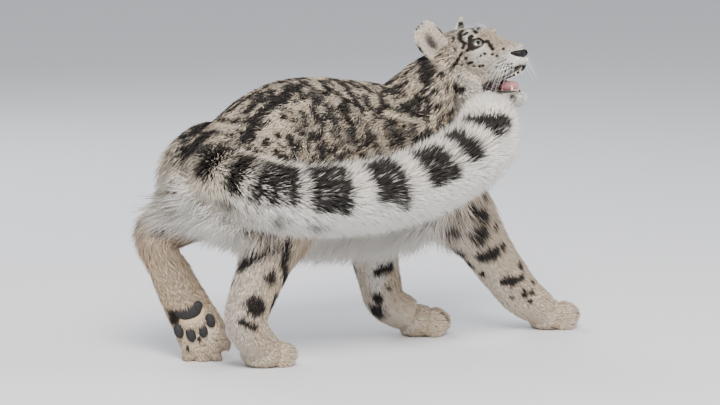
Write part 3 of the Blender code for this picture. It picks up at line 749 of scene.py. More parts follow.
# Teeth: root, tip and radius of each canine; the others stand in rows of so many, each a step from the last
teethForm = {
    "lengthwise": (0, 0.25, 0.5, 0.75, 0.92, 1.0),
    "taper": (1.0, 0.95, 0.78, 0.5, 0.24, 0.05),
    "canines": (((-0.034, 0.0130, -0.024), (-0.033, 0.0138, -0.043), 0.0040),
                ((-0.062, 0.0110, -0.076), (-0.054, 0.0125, -0.056), 0.0038)),
    "count": 3,
    "incisors": (((-0.026, 0.0018, -0.024), (-0.025, 0.0018, -0.0310), 0.0015),
                 ((-0.056, 0.0018, -0.075), (-0.052, 0.0018, -0.066), 0.0016)),
    "incisorStep": (0, 0.0034, 0),
    "cheekTeeth": (((-0.078, 0.019, -0.064), (-0.076, 0.019, -0.055), 0.0040),),
    "cheekStep": (-0.010, 0.003, 0.006),
}


def toothRow(shapes, side, count=1, step=(0, 0, 0)):
    made = []
    for i in range(count):
        for root, tip, radius in shapes:
            root, tip = (mirrored([c + s * i for c, s in zip(place, step)], side) for place in (root, tip))
            path = [root.lerp(tip, t) for t in teethForm["lengthwise"]]
            made.append(bentTube(path, [radius * k for k in teethForm["taper"]], around=10))
    return made


toothShapes = []
for side in sides:
    toothShapes += toothRow(teethForm["canines"], side)
    toothShapes += toothRow(teethForm["incisors"], side, teethForm["count"], teethForm["incisorStep"])
    toothShapes += toothRow(teethForm["cheekTeeth"], side, teethForm["count"], teethForm["cheekStep"])
teeth = headPiece("teeth", toothShapes)
print("head pieces made")

# Pads under the lifted foot: place ahead and aside, half length and half width
padForm = {
    "pads": ((-0.030, 0, 0.017, 0.026), (-0.038, -0.021, 0.012, 0.013), (-0.038, 0.021, 0.012, 0.013),
             (0.006, -0.040, 0.016, 0.0105), (0.024, -0.015, 0.017, 0.0105), (0.024, 0.015, 0.017, 0.0105),
             (0.006, 0.040, 0.016, 0.0105)),
    "closer": (0.88, 0.90),
    "shift": (-0.031, 0.006),
    "sunk": 0.86,
    "thick": 0.0075,
}
ball, forward, up, high = paws["hindLeft"]
turn = turnTo(forward, up)
padShapes = []
for ahead, aside, long, wide in padForm["pads"]:
    ahead, aside = (c * k + d for c, k, d in zip((ahead, aside), padForm["closer"], padForm["shift"]))
    centre = Vector(ball) + turn @ Vector((ahead, aside, -high * padForm["sunk"]))
    padShapes.append(ellipsoid(centre, (long, wide, padForm["thick"]), turn))
pads = newPiece("pads", padShapes)
smoothShade(pads.data)


# Adds a node: its settings first, then a value or a link for each socket
def addNode(tree, kind, inputs, **settings):
    node = tree.nodes.new(kind)
    for key, value in settings.items():
        setattr(node, key, value)
    for key, value in inputs.items():
        value = getattr(value, "out", value)
        if isinstance(value, bpy.types.NodeSocket):
            tree.links.new(value, node.inputs[key])
        else:
            node.inputs[key].default_value = value
    return node.outputs


# Operator that adds a Math node; turned when the shader number stands on the right
def maths(kind, turned=False):
    return lambda first, second: first.joined(kind, second, turned)


# A shader number that takes part in sums
class Value:
    def __init__(self, tree, out):
        self.tree = tree
        self.out = out

    def joined(self, kind, other, turned=False):
        terms = enumerate((other, self) if turned else (self, other))
        return Value(self.tree, addNode(self.tree, "ShaderNodeMath", dict(terms), operation=kind)[0])

    # The number held between 0 and 1
    def kept(self):
        made = self.joined("ADD", 0.0)
        made.out.node.use_clamp = True
        return made

    __add__, __radd__ = maths("ADD"), maths("ADD", True)
    __sub__, __rsub__ = maths("SUBTRACT"), maths("SUBTRACT", True)
    __mul__, __rmul__ = maths("MULTIPLY"), maths("MULTIPLY", True)


# A material and the nodes that feed its one shader
class Paint:
    def __init__(self, name, roughness, **fixed):
        self.material = bpy.data.materials.new(name)
        self.material.use_nodes = True
        self.tree = self.material.node_tree
        self.shader = self.tree.nodes["Principled BSDF"].inputs
        for key, value in {"Roughness": roughness, **fixed}.items():
            self.shader[key].default_value = value

    def channels(self, attribute):
        colour = addNode(self.tree, "ShaderNodeAttribute", {}, attribute_name=attribute)["Color"]
        return [Value(self.tree, out) for out in addNode(self.tree, "ShaderNodeSeparateColor", {0: colour})]

    def noise(self, size, detail, rough=0.6):
        where = addNode(self.tree, "ShaderNodeTexCoord", {})["Object"]
        inputs = {"Vector": where, "Scale": 1 / size, "Detail": detail, "Roughness": rough}
        return Value(self.tree, addNode(self.tree, "ShaderNodeTexNoise", inputs)[0])

    # Two colours, each a triple or an output of mix, blended by a number
    def mix(self, first, second, share):
        first, second = ((*given, 1) if isinstance(given, tuple) else given for given in (first, second))
        return addNode(self.tree, "ShaderNodeMix", {0: share, 6: first, 7: second}, data_type="RGBA")[2]

    def colour(self, out):
        if isinstance(out, tuple):
            self.shader["Base Color"].default_value = (*out, 1)
        else:
            self.tree.links.new(out, self.shader["Base Color"])

    def bump(self, height, strength, distance):
        inputs = {"Strength": strength, "Distance": distance, "Height": height}
        self.tree.links.new(addNode(self.tree, "ShaderNodeBump", inputs)[0], self.shader["Normal"])


# A colour given as it looks on a screen, 0 to 255
def linear(*rgb):
    shares = [c / 255 for c in rgb]
    return tuple(c / 12.92 if c <= 0.04045 else ((c + 0.055) / 1.055) ** 2.4 for c in shares)


# Coat: buff, grey and white hair with dark marks, from the numbers each tuft carries
coatColours = {
    "buff": linear(232, 214, 186),
    "grey": linear(204, 188, 166),
    "white": linear(252, 249, 243),
    "warm": linear(216, 186, 148),
    "dark": linear(24, 20, 19),
    "brown": linear(84, 70, 60),
}
coatTone = {
    "patchSize": 0.03,
    "rootShade": 0.20,
    "whiteHairs": 0.24,
    "brownHairs": 0.24,
    "hollowShade": 0.07,
    "skinShade": 0.30,
    "skinGrain": 0.0022,
}


def coatPaint(name, strands):
    paint = Paint(name, 0.88, **{"Specular IOR Level": 0.18})
    mark, pale, warm = paint.channels("coat")
    patch = paint.noise(coatTone["patchSize"], 3)
    tone = paint.mix(coatColours["grey"], coatColours["buff"], (patch * 2.2 - 0.6).kept())
    tone = paint.mix(tone, coatColours["warm"], warm)
    tone = paint.mix(tone, coatColours["white"], pale)
    ink = paint.mix(coatColours["brown"], coatColours["dark"], (mark * 2.0 - 0.30).kept())
    tone = paint.mix(tone, ink, (mark * 1.25).kept())
    if strands:
        along, chance, shade = paint.channels("strand")
        layers = (
            ("brown", (1 - along) * coatTone["rootShade"] * (1 - 0.6 * pale)),
            ("white", chance * coatTone["whiteHairs"] * (1 - 0.85 * mark)),
            ("brown", (coatTone["brownHairs"] - chance) * (1 - 0.75 * pale)),
            ("dark", shade * coatTone["hollowShade"] * (1 - 0.7 * pale)),
        )
    else:
        layers = (("brown", coatTone["skinShade"] * (1 - 0.5 * pale)),)
        paint.bump(paint.noise(coatTone["skinGrain"], 3), 0.5, 0.0015)
    for colourName, share in layers:
        tone = paint.mix(tone, coatColours[colourName], share.kept())
    paint.colour(tone)
    return paint.material


skinPaint = coatPaint("coatSkin", strands=False)
tuftPaint = coatPaint("coatTufts", strands=True)

# Plain finishes: roughness, colour, shader settings and the bump's grain size, detail, strength and height
finishes = {
    "noseLeather": (0.52, (14, 12, 13), {"Specular IOR Level": 0.3}, (0.0012, 2, 0.35, 0.0004)),
    "lips": (0.55, (24, 19, 19), {}, None),
    # the mouth's lining is painted shade: dark as the depth of the mouth
    "mouthShadeLining": (0.40, (48, 24, 26), {}, None),
    "pads": (0.72, (30, 28, 29), {}, (0.0015, 3, 0.6, 0.0006)),
    "tongue": (0.34, (168, 112, 116), {"Subsurface Weight": 0.06, "Subsurface Scale": 0.004},
               (0.0011, 2, 0.7, 0.0006)),
    "teeth": (0.22, (238, 228, 205), {}, None),
    "lidRims": (0.45, (26, 22, 21), {}, None),
    "whiskers": (0.35, (248, 246, 240), {}, None),
    "floor": (0.9, (226, 226, 228), {}, None),
}
plain = {}
for name, (roughness, rgb, fixed, grain) in finishes.items():
    paint = Paint(name, roughness, **fixed)
    paint.colour(linear(*rgb))
    if grain:
        paint.bump(paint.noise(*grain[:2]), *grain[2:])
    plain[name] = paint.material

# Eye: pupil, streaked iris and dark edge by the angle from its aim
eyePaint = Paint("eye", 0.06, **{"Coat Weight": 0.6, "Coat Roughness": 0.03})
ring, streak = eyePaint.channels("eye")[:2]
iris = eyePaint.mix(linear(112, 116, 100), linear(164, 165, 146), (streak * 0.8 + 0.1).kept())
iris = eyePaint.mix(iris, linear(112, 104, 70), ((0.36 - ring) * 6).kept())
iris = eyePaint.mix(iris, linear(24, 22, 20), ((ring - 0.62) * 14).kept())
eyePaint.colour(eyePaint.mix(linear(6, 6, 7), iris, ((ring - 0.27) * 40).kept()))


# Three numbers for each point, kept in its mesh for the materials
def setColour(mesh, name, rows):
    layer = mesh.color_attributes.new(name, "FLOAT_COLOR", "POINT")
    full = np.ones((len(mesh.vertices), 4), np.float32)
    full[:, :3] = rows
    layer.data.foreach_set("color", full.ravel())


eyeWide = 1.35    # angle from the eye's aim, in radians, that counts as 1
for side, obj in eyes.items():
    aim = np.array(headTurn @ mirrored(eye["aim"], side).normalized())
    middle = headPlace @ mirrored(eye["place"], side)
    ways = unit(pointsOf(obj.data) - np.array(middle))
    ringValue = np.arccos(np.clip(ways @ aim, -1, 1)) / eyeWide
    flat = ways - (ways @ aim)[:, None] * aim
    upward, leftward = (np.array(headTurn @ Vector(way)) for way in ((0, 0, 1), (0, 1, 0)))
    angle = np.arctan2(flat @ upward, flat @ leftward)
    streaks = 0.5 + 0.25 * np.sin(angle * 37) + 0.25 * np.sin(angle * 61 + 1.3)
    setColour(obj.data, "eye", np.stack([ringValue, streaks, ringValue * 0], 1))
print("materials made")

# Saddles of the tail: place along it, half length, and where round the tail each begins and ends, in degrees
tailMarks = (
    (0.030, 0.012, 20, 85),
    (0.088, 0.012, 5, 60),
    (0.142, 0.011, 0, 80),
    (0.205, 0.020, 10, 80),
    (0.292, 0.029, 12, 88),
    (0.405, 0.032, 12, 92),
    (0.568, 0.032, 12, 92),
    (0.735, 0.029, 12, 88),
    (0.850, 0.019, 10, 70),
    (0.975, 0.026, -20, 50),
)
# Small spots low on the tail: place along it, degrees round it and half width
tailSpots = (
    (0.15, 128, 0.010), (0.20, 118, 0.010), (0.30, 124, 0.011), (0.37, 128, 0.010), (0.10, 120, 0.010),
)


# Each mark of a table is half its width in tenths of a millimetre, then its places in millimetres
def marksOf(table):
    return [([tuple(c / 1000 for c in mark[i:i + 3]) for i in range(1, len(mark), 3)], mark[0] / 10000)
            for mark in table]


# Bars and spots of the rump and legs, in the body's places
rumpMarks = marksOf((
    (95, -140, 89, 478, -110, 68, 503), (126, -153, 54, 460, -177, -2, 479),
    (105, -208, -51, 463, -173, -54, 486), (63, -215, -29, 445), (105, -120, 161, 344, -121, 130, 354),
    (63, -120, 81, 330), (63, -150, 107, 434, -161, 97, 414),
    (105, -63, 30, 545, -37, 20, 561, -6, 16, 577),
    (150, -105, -83, 500, -74, -60, 526, -33, -55, 551, 17, -53, 571, 77, -42, 588),
    (53, -66, 82, 518, -93, 24, 528, -97, -17, 527), (53, -130, -5, 507, -128, -30, 505, -122, -52, 499),
    (50, -105, -44, 515, -117, -93, 487), (126, -80, -112, 486), (105, -38, -106, 497),
    (147, -7, -110, 486, -12, -133, 471),
))
legMarks = marksOf((
    (105, -147, -91, 226, -141, -116, 243, -129, -133, 256), (105, -108, -149, 266),
    (84, -73, -161, 279, -74, -158, 231), (126, -113, -150, 205), (95, -75, -156, 223, -58, -137, 186),
    (180, -147, -142, 144), (105, -85, -137, 154, -90, -132, 135), (63, -175, -122, 113, -148, -140, 99),
    (126, 433, -167, 257), (84, 426, -185, 300), (116, 459, -202, 303, 492, -208, 285),
    (84, 498, -200, 332), (53, 534, -190, 318), (179, 481, -201, 247), (74, 532, -208, 261),
    (95, 556, -208, 211), (168, 526, -199, 195), (105, 485, -140, 193, 465, -150, 212),
    (120, 511, -143, 167), (140, 506, -189, 191), (105, 576, -194, 127, 599, -204, 127),
    (74, 617, -205, 160), (74, 619, -207, 130), (53, 662, -205, 117), (74, 632, -205, 95),
    (63, 654, -209, 95), (45, 609, -189, 86), (53, 651, -206, 74), (63, 534, -165, 144),
    (84, 352, -18, 155, 383, -28, 168), (84, 418, -26, 133), (105, 347, -20, 95), (168, 353, -10, 61),
    (53, 368, -36, 119), (105, 348, 54, 156),
))
# Lines and spots of the face's right side, in the head's own places; the left side mirrors them
headMarks = marksOf((
    (37, -89, -41, 78, -87, -50, 66, -83, -53, 54), (29, -64, -36, 56, -55, -30, 55, -50, -34, 35),
    (33, -102, -15, 105, -108, -25, 103, -110, -38, 94, -108, -46, 83, -101, -50, 71),
    (24, -99, -34, 93, -94, -27, 95), (29, -86, -9, 100, -69, -38, 81), (21, -89, -38, 81, -81, -38, 76),
    (21, -123, -54, 76, -123, -58, 68), (24, -107, -54, 66), (24, -100, -55, 53, -93, -52, 54),
    (29, -114, -60, 54, -128, -65, 42, -137, -68, 35), (21, -146, -69, 28, -153, -70, 18, -156, -75, 5),
    (21, -109, -61, 40), (17, -126, -66, 33, -114, -64, 27), (21, -108, -64, 29, -96, -65, 23),
    (17, -94, -65, 14), (21, -83, -62, 8), (21, -76, -59, 6), (24, -133, -71, 12),
    (45, -147, -79, -6, -150, -79, -19), (45, -137, -79, -22), (33, -179, -67, 9), (29, -170, -73, -12),
    (17, -53, -38, 1, -42, -35, 0, -30, -34, -1), (17, -60, -39, -5, -40, -38, -8, -21, -31, -16),
    (18, -59, -37, -11, -35, -37, -16, -19, -11, -23), (18, -57, -32, -19, -30, -31, -24, -20, -7, -26),
    (21, -73, 4, 92, -72, 13, 90), (21, -83, 1, 99, -77, 2, 95), (21, -97, 0, 106, -89, -12, 100),
    (24, -143, -6, 114, -136, -10, 113), (21, -124, -37, 100, -121, -44, 91), (21, -58, -16, -78),
    (17, -57, -15, -87), (17, -63, -20, -82), (33, -106, -14, -46), (17, -53, -38, 23), (17, -47, -36, 16),
    (17, -63, -52, 29), (17, -30, -26, 24), (17, -72, -58, 29), (26, -118, -18, 112, -126, -19, 113),
    (26, -132, -6, 116, -140, -7, 116), (30, -141, -30, 108, -150, -32, 106),
    (30, -152, -16, 114, -164, -17, 111), (36, -168, -36, 100, -182, -38, 93),
    (36, -176, -10, 108, -190, -11, 102), (100, -190, -50, 75, -198, -56, 50, -196, -60, 20),
    (46, -170, -70, -30), (46, -165, -62, -52), (32, -120, -50, -60),
))
# How much wider the marks are drawn than they were measured, because hair spreads them
markSpread = {
    "legs": 1.22,
    "faceSpots": 1.4,
    "faceLines": 1.1,
    "boldFrom": 0.0020,
    "bold": 1.4,
}


# Roots spread over a mesh, as many as count and thicker where density is higher: places and normals
def scattered(obj, count, density):
    mesh = obj.data
    mesh.calc_loop_triangles()
    corner = np.empty(len(mesh.loop_triangles) * 3, np.int32)
    mesh.loop_triangles.foreach_get("vertices", corner)
    corner = corner.reshape(-1, 3)
    places, outs = pointsOf(mesh), normalsOf(mesh)
    a, b, c = (places[corner[:, i]] for i in range(3))
    area = np.linalg.norm(np.cross(b - a, c - a), axis=1) / 2
    worth = np.cumsum(area * density((a + b + c) / 3, unit(outs[corner].sum(1))))
    ticks = (np.arange(count) + chance.uniform(0, 1, count)) / count * worth[-1]
    pick = np.minimum(np.searchsorted(worth, ticks), len(corner) - 1)
    u, v = chance.uniform(0, 1, (2, count))
    turned = u + v > 1
    u, v = np.where(turned, 1 - u, u)[:, None], np.where(turned, 1 - v, v)[:, None]
    a, b, c = (places[corner[pick, i]] for i in range(3))
    na, nb, nc = (outs[corner[pick, i]] for i in range(3))
    return a + u * (b - a) + v * (c - a), unit(na + u * (nb - na) + v * (nc - na))


# Rows of two ends, half width and darkness between the places of each mark; a single place is a round spot
def segmentsOf(marks, dark):
    rows = []
    for path, radius in marks:
        ends = list(path) if len(path) > 1 else [path[0], path[0]]
        for first, second in zip(ends, ends[1:]):
            rows.append((*first, *second, radius, dark))
    return rows


# How dark a mark is at each point, from 0 to 1
def marked(points, segments, outs, wobble=0.22, soft=0.30, alongSkin=0.85):
    order = np.argsort(points[:, 0])
    sortedPoints, sortedOuts = points[order], outs[order]
    rough = 1 + wobble * ripple(sortedPoints, 0.022, 5) + wobble * 0.8 * ripple(sortedPoints, 0.009, 6)
    value = np.zeros(len(points))
    for row in segments:
        first, second, radius, dark = row[:3], row[3:6], row[6], row[7]
        reach = radius * (1.5 + soft)
        start = np.searchsorted(sortedPoints[:, 0], min(first[0], second[0]) - reach)
        stop = np.searchsorted(sortedPoints[:, 0], max(first[0], second[0]) + reach)
        if stop <= start:
            continue
        part = sortedPoints[start:stop]
        run = second - first
        t = np.clip((part - first) @ run / max(run @ run, 1e-12), 0, 1)[:, None]
        away = part - (first + t * run)
        high = (away * sortedOuts[start:stop]).sum(1, keepdims=True)
        away -= alongSkin * high * sortedOuts[start:stop]
        far = np.linalg.norm(away, axis=1) * rough[start:stop] / radius
        value[start:stop] = np.maximum(value[start:stop], dark * (1 - ramp(far, 1 - soft, 1 + soft)))
    back = np.empty(len(points))
    back[order] = value
    return back


# Indices of points that all lie at least gap apart
def spaced(points, gap):
    cells = {}
    kept = []
    for i, p in enumerate(points):
        key = tuple(int(math.floor(c / gap)) for c in p)
        near = [j for dx in (-1, 0, 1) for dy in (-1, 0, 1) for dz in (-1, 0, 1)
                for j in cells.get((key[0] + dx, key[1] + dy, key[2] + dz), ())]
        if all(np.linalg.norm(p - points[j]) > gap for j in near):
            cells.setdefault(key, []).append(i)
            kept.append(i)
    return kept


# Unit ways forward, across and up of a foot
def footWays(name):
    ball, forward, up, high = paws[name]
    forward = unit(np.array(forward))
    up = unit(np.array(up) - forward * (np.array(up) @ forward))
    return np.array(ball), forward, np.cross(up, forward), up * high


legMarks = [(path, radius * markSpread["legs"]) for path, radius in legMarks]
rows = segmentsOf(rumpMarks, 1.0) + segmentsOf(legMarks, 1.0)
shown = np.array([(np.array(row[:3]) + np.array(row[3:6])) / 2 for row in rows])

# Painted shade in lines between the toes of the standing feet, and the dark ankle of the lifted one
toeGapShade = {
    "asides": (-0.0262, 0.0, 0.0262),
    "ahead": (0.028, 0.062),
    "spread": 0.2,
    "high": 0.75,
    "drop": 0.7,
    "radius": 0.0048,
    "dark": 0.65,
}
ankleMark = {"behind": 0.052, "aside": 0.040, "under": 0.6, "long": 0.016, "radius": 0.0115}
# Painted shade along the gaps between the toes
for name in ("hindRight", "foreRight", "foreLeft"):
    ball, forward, across, up = footWays(name)
    for aside in toeGapShade["asides"]:
        ends = [ball + forward * ahead + across * aside * (1 + toeGapShade["spread"] * k)
                + up * (toeGapShade["high"] - toeGapShade["drop"] * k) for k, ahead in enumerate(toeGapShade["ahead"])]
        rows += segmentsOf([([tuple(p) for p in ends], toeGapShade["radius"])], toeGapShade["dark"])
ball, forward, across, up = footWays("hindLeft")
ankle = ball - forward * ankleMark["behind"] + across * ankleMark["aside"] - up * ankleMark["under"]
ankleEnds = [tuple(ankle), tuple(ankle - forward * ankleMark["long"])]
rows += segmentsOf([(ankleEnds, ankleMark["radius"])], 1.0)

# Saddles of the tail, each drawn as strokes side by side with uneven ends
chance = np.random.default_rng(look["seed"])
tailRegion = regions["tail"]
tailLong = np.linalg.norm(np.diff(tailRegion["places"], axis=0), axis=1).sum()
saddle = {
    "strokeRadius": 0.0140,
    "strokeGap": 0.0105,
    "inset": 0.008,
    "firstPlay": (-4, 12),
    "lastPlay": (-16, 10),
    "steps": 3,
}
tailSpotRun = (0.012, 12)    # the spots run on by this share of the tail and these degrees


# Place round the tail: angle in degrees from its upper line towards its outer side
def onTail(along, angle, far=0.056):
    index = np.abs(tailRegion["run"] - along).argmin()
    way = tailRegion["lie"][index]
    upward = unit(np.array((0, 0, 1)) - way * way[2])
    outward = np.cross(way, upward)
    turn = math.radians(angle)
    return tuple(tailRegion["places"][index] + far * (upward * math.cos(turn) + outward * math.sin(turn)))


for along, half, first, last in tailMarks:
    count = max(2, round(half / saddle["strokeGap"]))
    for k in range(count):
        off = (k / (count - 1) - 0.5) * 2 * (half - saddle["inset"])
        start, end = first + chance.uniform(*saddle["firstPlay"]), last + chance.uniform(*saddle["lastPlay"])
        angles = [start + (end - start) * i / saddle["steps"] for i in range(saddle["steps"] + 1)]
        path = [onTail(along + off / tailLong, angle) for angle in angles]
        rows += segmentsOf([(path, saddle["strokeRadius"])], 1.0)
for along, angle, radius in tailSpots:
    path = [onTail(along, angle), onTail(along + tailSpotRun[0], angle + tailSpotRun[1])]
    rows += segmentsOf([(path, radius)], 0.6)
rows += segmentsOf([([(x, -y, z) for x, y, z in path], radius) for path, radius in rumpMarks], 0.9)

# Broken rosettes and flecks over the back, neck, thighs and shoulders, spots over the legs
seedPlaces, seedOuts = scattered(skin, 9000, lambda p, n: np.ones(len(p)))
seedLie, seedShares = placed(seedPlaces)[2:]
seedLie = unit(seedLie - seedOuts * (seedLie * seedOuts).sum(1, keepdims=True))
rosette = {
    "spacing": 0.050,
    "clear": 0.034,    # how far a mark keeps from those that the photo shows
    "size": (0.017, 0.026),
    "parts": 6,
    "missing": 0.22,
    "turnPlay": (-0.25, 0.25),
    "longer": 1.25,
    "partLong": (0.003, 0.011),
    "partWide": (0.0072, 0.0112),
    "partDark": (0.7, 1.0),
    "paler": 0.92,    # on the flanks
    "centreLong": 0.4,
    "centreWide": 0.62,
    "centreDark": 0.26,
}
fleck = {
    "spacing": 0.0200,
    "clear": 0.022,
    "missing": 0.35,
    "missingOnNeck": 0.12,
    "long": (0.001, 0.007),
    "wide": (0.0050, 0.0080),
    "wideOnNeck": (0.0056, 0.0086),
    "dark": (0.75, 1.0),
}
legSpot = {
    "spacing": 0.032,
    "clear": 0.034,
    "missing": 0.15,
    "long": (0, 0.004),
    "wide": 0.0048,
    "widerAbove": 0.007,
    "play": (0.6, 1.2),
    "dark": 0.95,
}
skinToCoat, skinToLegCoat = 0.012, 0.006
innerWay, soleWay = np.array((-0.6, -0.8, 0)), np.array((-0.71, -0.69, 0.12))


def near(place, gap):
    return np.linalg.norm(shown - place, axis=1).min() < gap


def blob(place, way, long, wide, dark):
    first, second = place - way * long, place + way * long
    return (*first, *second, wide, dark)


seedY, seedZ = seedPlaces[:, 1], seedPlaces[:, 2]
upperLegs = sum(seedShares[name] for name in limbs)
onTrunk = (seedShares["trunk"] + upperLegs * (seedZ > 0.36) > 0.5) & (seedOuts[:, 2] > -0.45) & (seedZ > 0.31)
onNeck = (seedShares["neck"] > 0.4) & (seedOuts[:, 2] > -0.3)
onLegs = (legShare(seedShares) > 0.6) & (seedZ < 0.36) & (seedZ > 0.03)
for i in [j for j in spaced(seedPlaces, rosette["spacing"]) if onTrunk[j]]:
    place, out, way = seedPlaces[i] + seedOuts[i] * skinToCoat, seedOuts[i], seedLie[i]
    if near(place, rosette["clear"]):
        continue
    side = np.cross(out, way)
    size = chance.uniform(*rosette["size"])
    turn = chance.uniform(0, math.tau)
    strength = 1.0 if place[0] < 0.10 or place[2] > 0.53 else rosette["paler"]
    long, wide = size * rosette["centreLong"], size * rosette["centreWide"]
    rows.append(blob(place, way, long, wide, rosette["centreDark"]))
    for k in range(rosette["parts"]):
        if chance.uniform() < rosette["missing"]:
            continue
        angle = turn + math.tau * k / rosette["parts"] + chance.uniform(*rosette["turnPlay"])
        ring = way * math.cos(angle) * size * rosette["longer"] + side * math.sin(angle) * size
        tangent = unit(side * math.cos(angle) - way * math.sin(angle))
        long, wide = chance.uniform(*rosette["partLong"]), chance.uniform(*rosette["partWide"])
        rows.append(blob(place + ring, tangent, long, wide, strength * chance.uniform(*rosette["partDark"])))
for i in [j for j in spaced(seedPlaces, fleck["spacing"]) if onTrunk[j] or onNeck[j]]:
    place = seedPlaces[i] + seedOuts[i] * skinToCoat
    part = "OnNeck" if onNeck[i] else ""
    if near(place, fleck["clear"]) or chance.uniform() < fleck["missing" + part]:
        continue
    wide = chance.uniform(*fleck["wide" + part])
    rows.append(blob(place, seedLie[i], chance.uniform(*fleck["long"]), wide, chance.uniform(*fleck["dark"])))
for i in [j for j in spaced(seedPlaces, legSpot["spacing"]) if onLegs[j]]:
    place = seedPlaces[i] + seedOuts[i] * skinToLegCoat
    inner = seedOuts[i] @ innerWay > -0.1 and seedY[i] < 0.03
    soleSide = seedShares["hindLeft"][i] > 0.5 and place[2] < 0.27 and seedOuts[i] @ soleWay > 0.1
    if inner or soleSide or near(place, legSpot["clear"]) or chance.uniform() < legSpot["missing"]:
        continue
    more = legSpot["widerAbove"] * ramp(place[2], 0.02, 0.30)
    long, wide = chance.uniform(*legSpot["long"]), legSpot["wide"] + more * chance.uniform(*legSpot["play"])
    rows.append(blob(place, seedLie[i], long, wide, legSpot["dark"]))

# The black patch behind each ear, and the face
behindEar = ((0.446, -0.064, 0.638), (0.432, -0.082, 0.632), (0.418, -0.110, 0.614), (0.404, -0.118, 0.592))
behindEarRadius = 0.0165
faceRows = []
for path, radius in headMarks:
    radius *= markSpread["faceSpots"] if len(path) == 1 else markSpread["faceLines"]
    radius *= markSpread["bold"] if radius >= markSpread["boldFrom"] else 1.0
    for side in sides:
        faceRows += segmentsOf([([tuple(headPlace @ mirrored(p, side)) for p in path], radius)], 1.0)
for side in sides:
    path = [tuple(headPlace @ mirrored(headPlace.inverted() @ Vector(p), side)) for p in behindEar]
    rows += segmentsOf([(path, behindEarRadius)], 1.0)
bodySegments, faceSegments = ([np.array(row, float) for row in some] for some in (rows, faceRows))
print(len(bodySegments), "marks on the body", len(faceSegments), "on the head")


# How far a place belongs to the front of the chest
def chestShare(points, outs):
    middle = 1 - ramp(np.abs(points[:, 1] + 0.07), 0.05, 0.10)
    return ramp(outs[:, 0], 0.3, 0.8) * ramp(points[:, 0], 0.38, 0.46) * middle


# Mark, pale and warm shares of the coat at places over the body
def bodyColours(points, outs, shares):
    x, y, z = points.T
    mottle = ripple(points, 0.05, 21)
    pawsPart = legShare(shares, legs=False)
    legs = legShare(shares) - pawsPart
    trunkPale = np.maximum(ramp(-outs[:, 2], 0.15, 0.65), ramp(z + 0.02 * mottle, 0.345, 0.275))
    trunkPale = np.maximum(trunkPale, chestShare(points, outs) * ramp(z, 0.58, 0.50))
    trunkPale = trunkPale * 0.92 + 0.04
    neckPale = ramp(-outs[:, 2] + 0.15 * outs[:, 0], 0.15, 0.75) * 0.8
    inward = np.where(y < -0.03, outs[:, 1], -outs[:, 1])
    legPale = 0.12 + 0.50 * ramp(inward, 0.1, 0.8) + 0.25 * ramp(-outs[:, 0], 0.2, 0.8)
    high = np.zeros(len(points))
    on = np.nonzero(shares["tail"] > 0.02)[0]
    high[on] = (z[on] - tailRegion["places"][nearestOf(points[on], tailRegion["places"])[0], 2]) / 0.05
    tailPale = 0.62 + 0.38 * ramp(-high, -0.6, 0.3)
    rootFar = np.linalg.norm(points - np.array(tail[1]), axis=1)
    tailPale = tailPale * (0.30 + 0.70 * ramp(rootFar, 0.09, 0.20))
    pale = (shares["trunk"] * trunkPale + shares["neck"] * neckPale + legs * legPale
            + pawsPart * 0.14 + shares["tail"] * tailPale)
    rear = ramp(x, -0.03, -0.12) * ramp(z, 0.52, 0.36) * ramp(z, 0.20, 0.27)
    pale = np.maximum(pale, rear * 0.42 * (1 - shares["hindLeft"] * ramp(z, 0.33, 0.29)))
    shank = shares["hindLeft"] * ramp(z, 0.30, 0.26)
    warm = 0.72 * legs + 0.78 * pawsPart + 1.0 * shank
    warm += 0.40 * (shares["trunk"] + shares["neck"]) * ramp(mottle, -0.4, 0.8)
    pale = np.clip(pale * (1 - 0.85 * shank), 0, 1)
    mark = marked(points, bodySegments, outs) * (1 - 0.75 * ramp(-outs[:, 2], 0.35, 0.8) * shares["trunk"])
    return np.stack([mark, pale, np.clip(warm, 0, 1)], 1)


# The same for places over the head
def faceColours(points, outs):
    local = headPlaces(points)
    x, y, z = local[:, 0], np.abs(local[:, 1]), local[:, 2]
    eyeX, eyeY, eyeZ = eye["place"]
    muzzle = ramp(x, -0.095, -0.035) * ramp(z, 0.034, -0.004)
    chin = ramp(z, -0.040, -0.065)
    cheek = ramp(z, 0.060, -0.030) * ramp(y, 0.020, 0.060)
    underEye = (1 - ramp(np.hypot(x + 0.078, z - 0.030), 0.008, 0.034)) * 0.85
    brow = (1 - ramp(np.hypot(x + 0.086, z - 0.080), 0.004, 0.026)) * 0.9
    pale = np.clip(np.maximum.reduce([muzzle, chin, cheek * 0.60, underEye, brow]), 0, 1)
    pale = 0.05 + 0.75 * pale
    bridge = ramp(x, -0.11, -0.04) * ramp(z, 0.015, 0.045) * 0.30
    warm = np.clip(bridge + 0.10 + 0.25 * cheek * (1 - chin), 0, 1)
    mark = marked(points, faceSegments, outs, wobble=0.12)
    lidFar = np.hypot(x - eyeX, np.hypot((y - eyeY) * 0.9, z - eyeZ))
    mark = np.maximum(mark, 1 - ramp(lidFar, 0.0185, 0.0225))
    grain = ramp(ripple(points, 0.0042, 51) + 0.5 * ripple(points, 0.0019, 53), 0.15, 0.80)
    mark = np.maximum(mark, 0.62 * grain * (1 - 0.85 * pale))
    return np.stack([mark, pale, warm], 1)
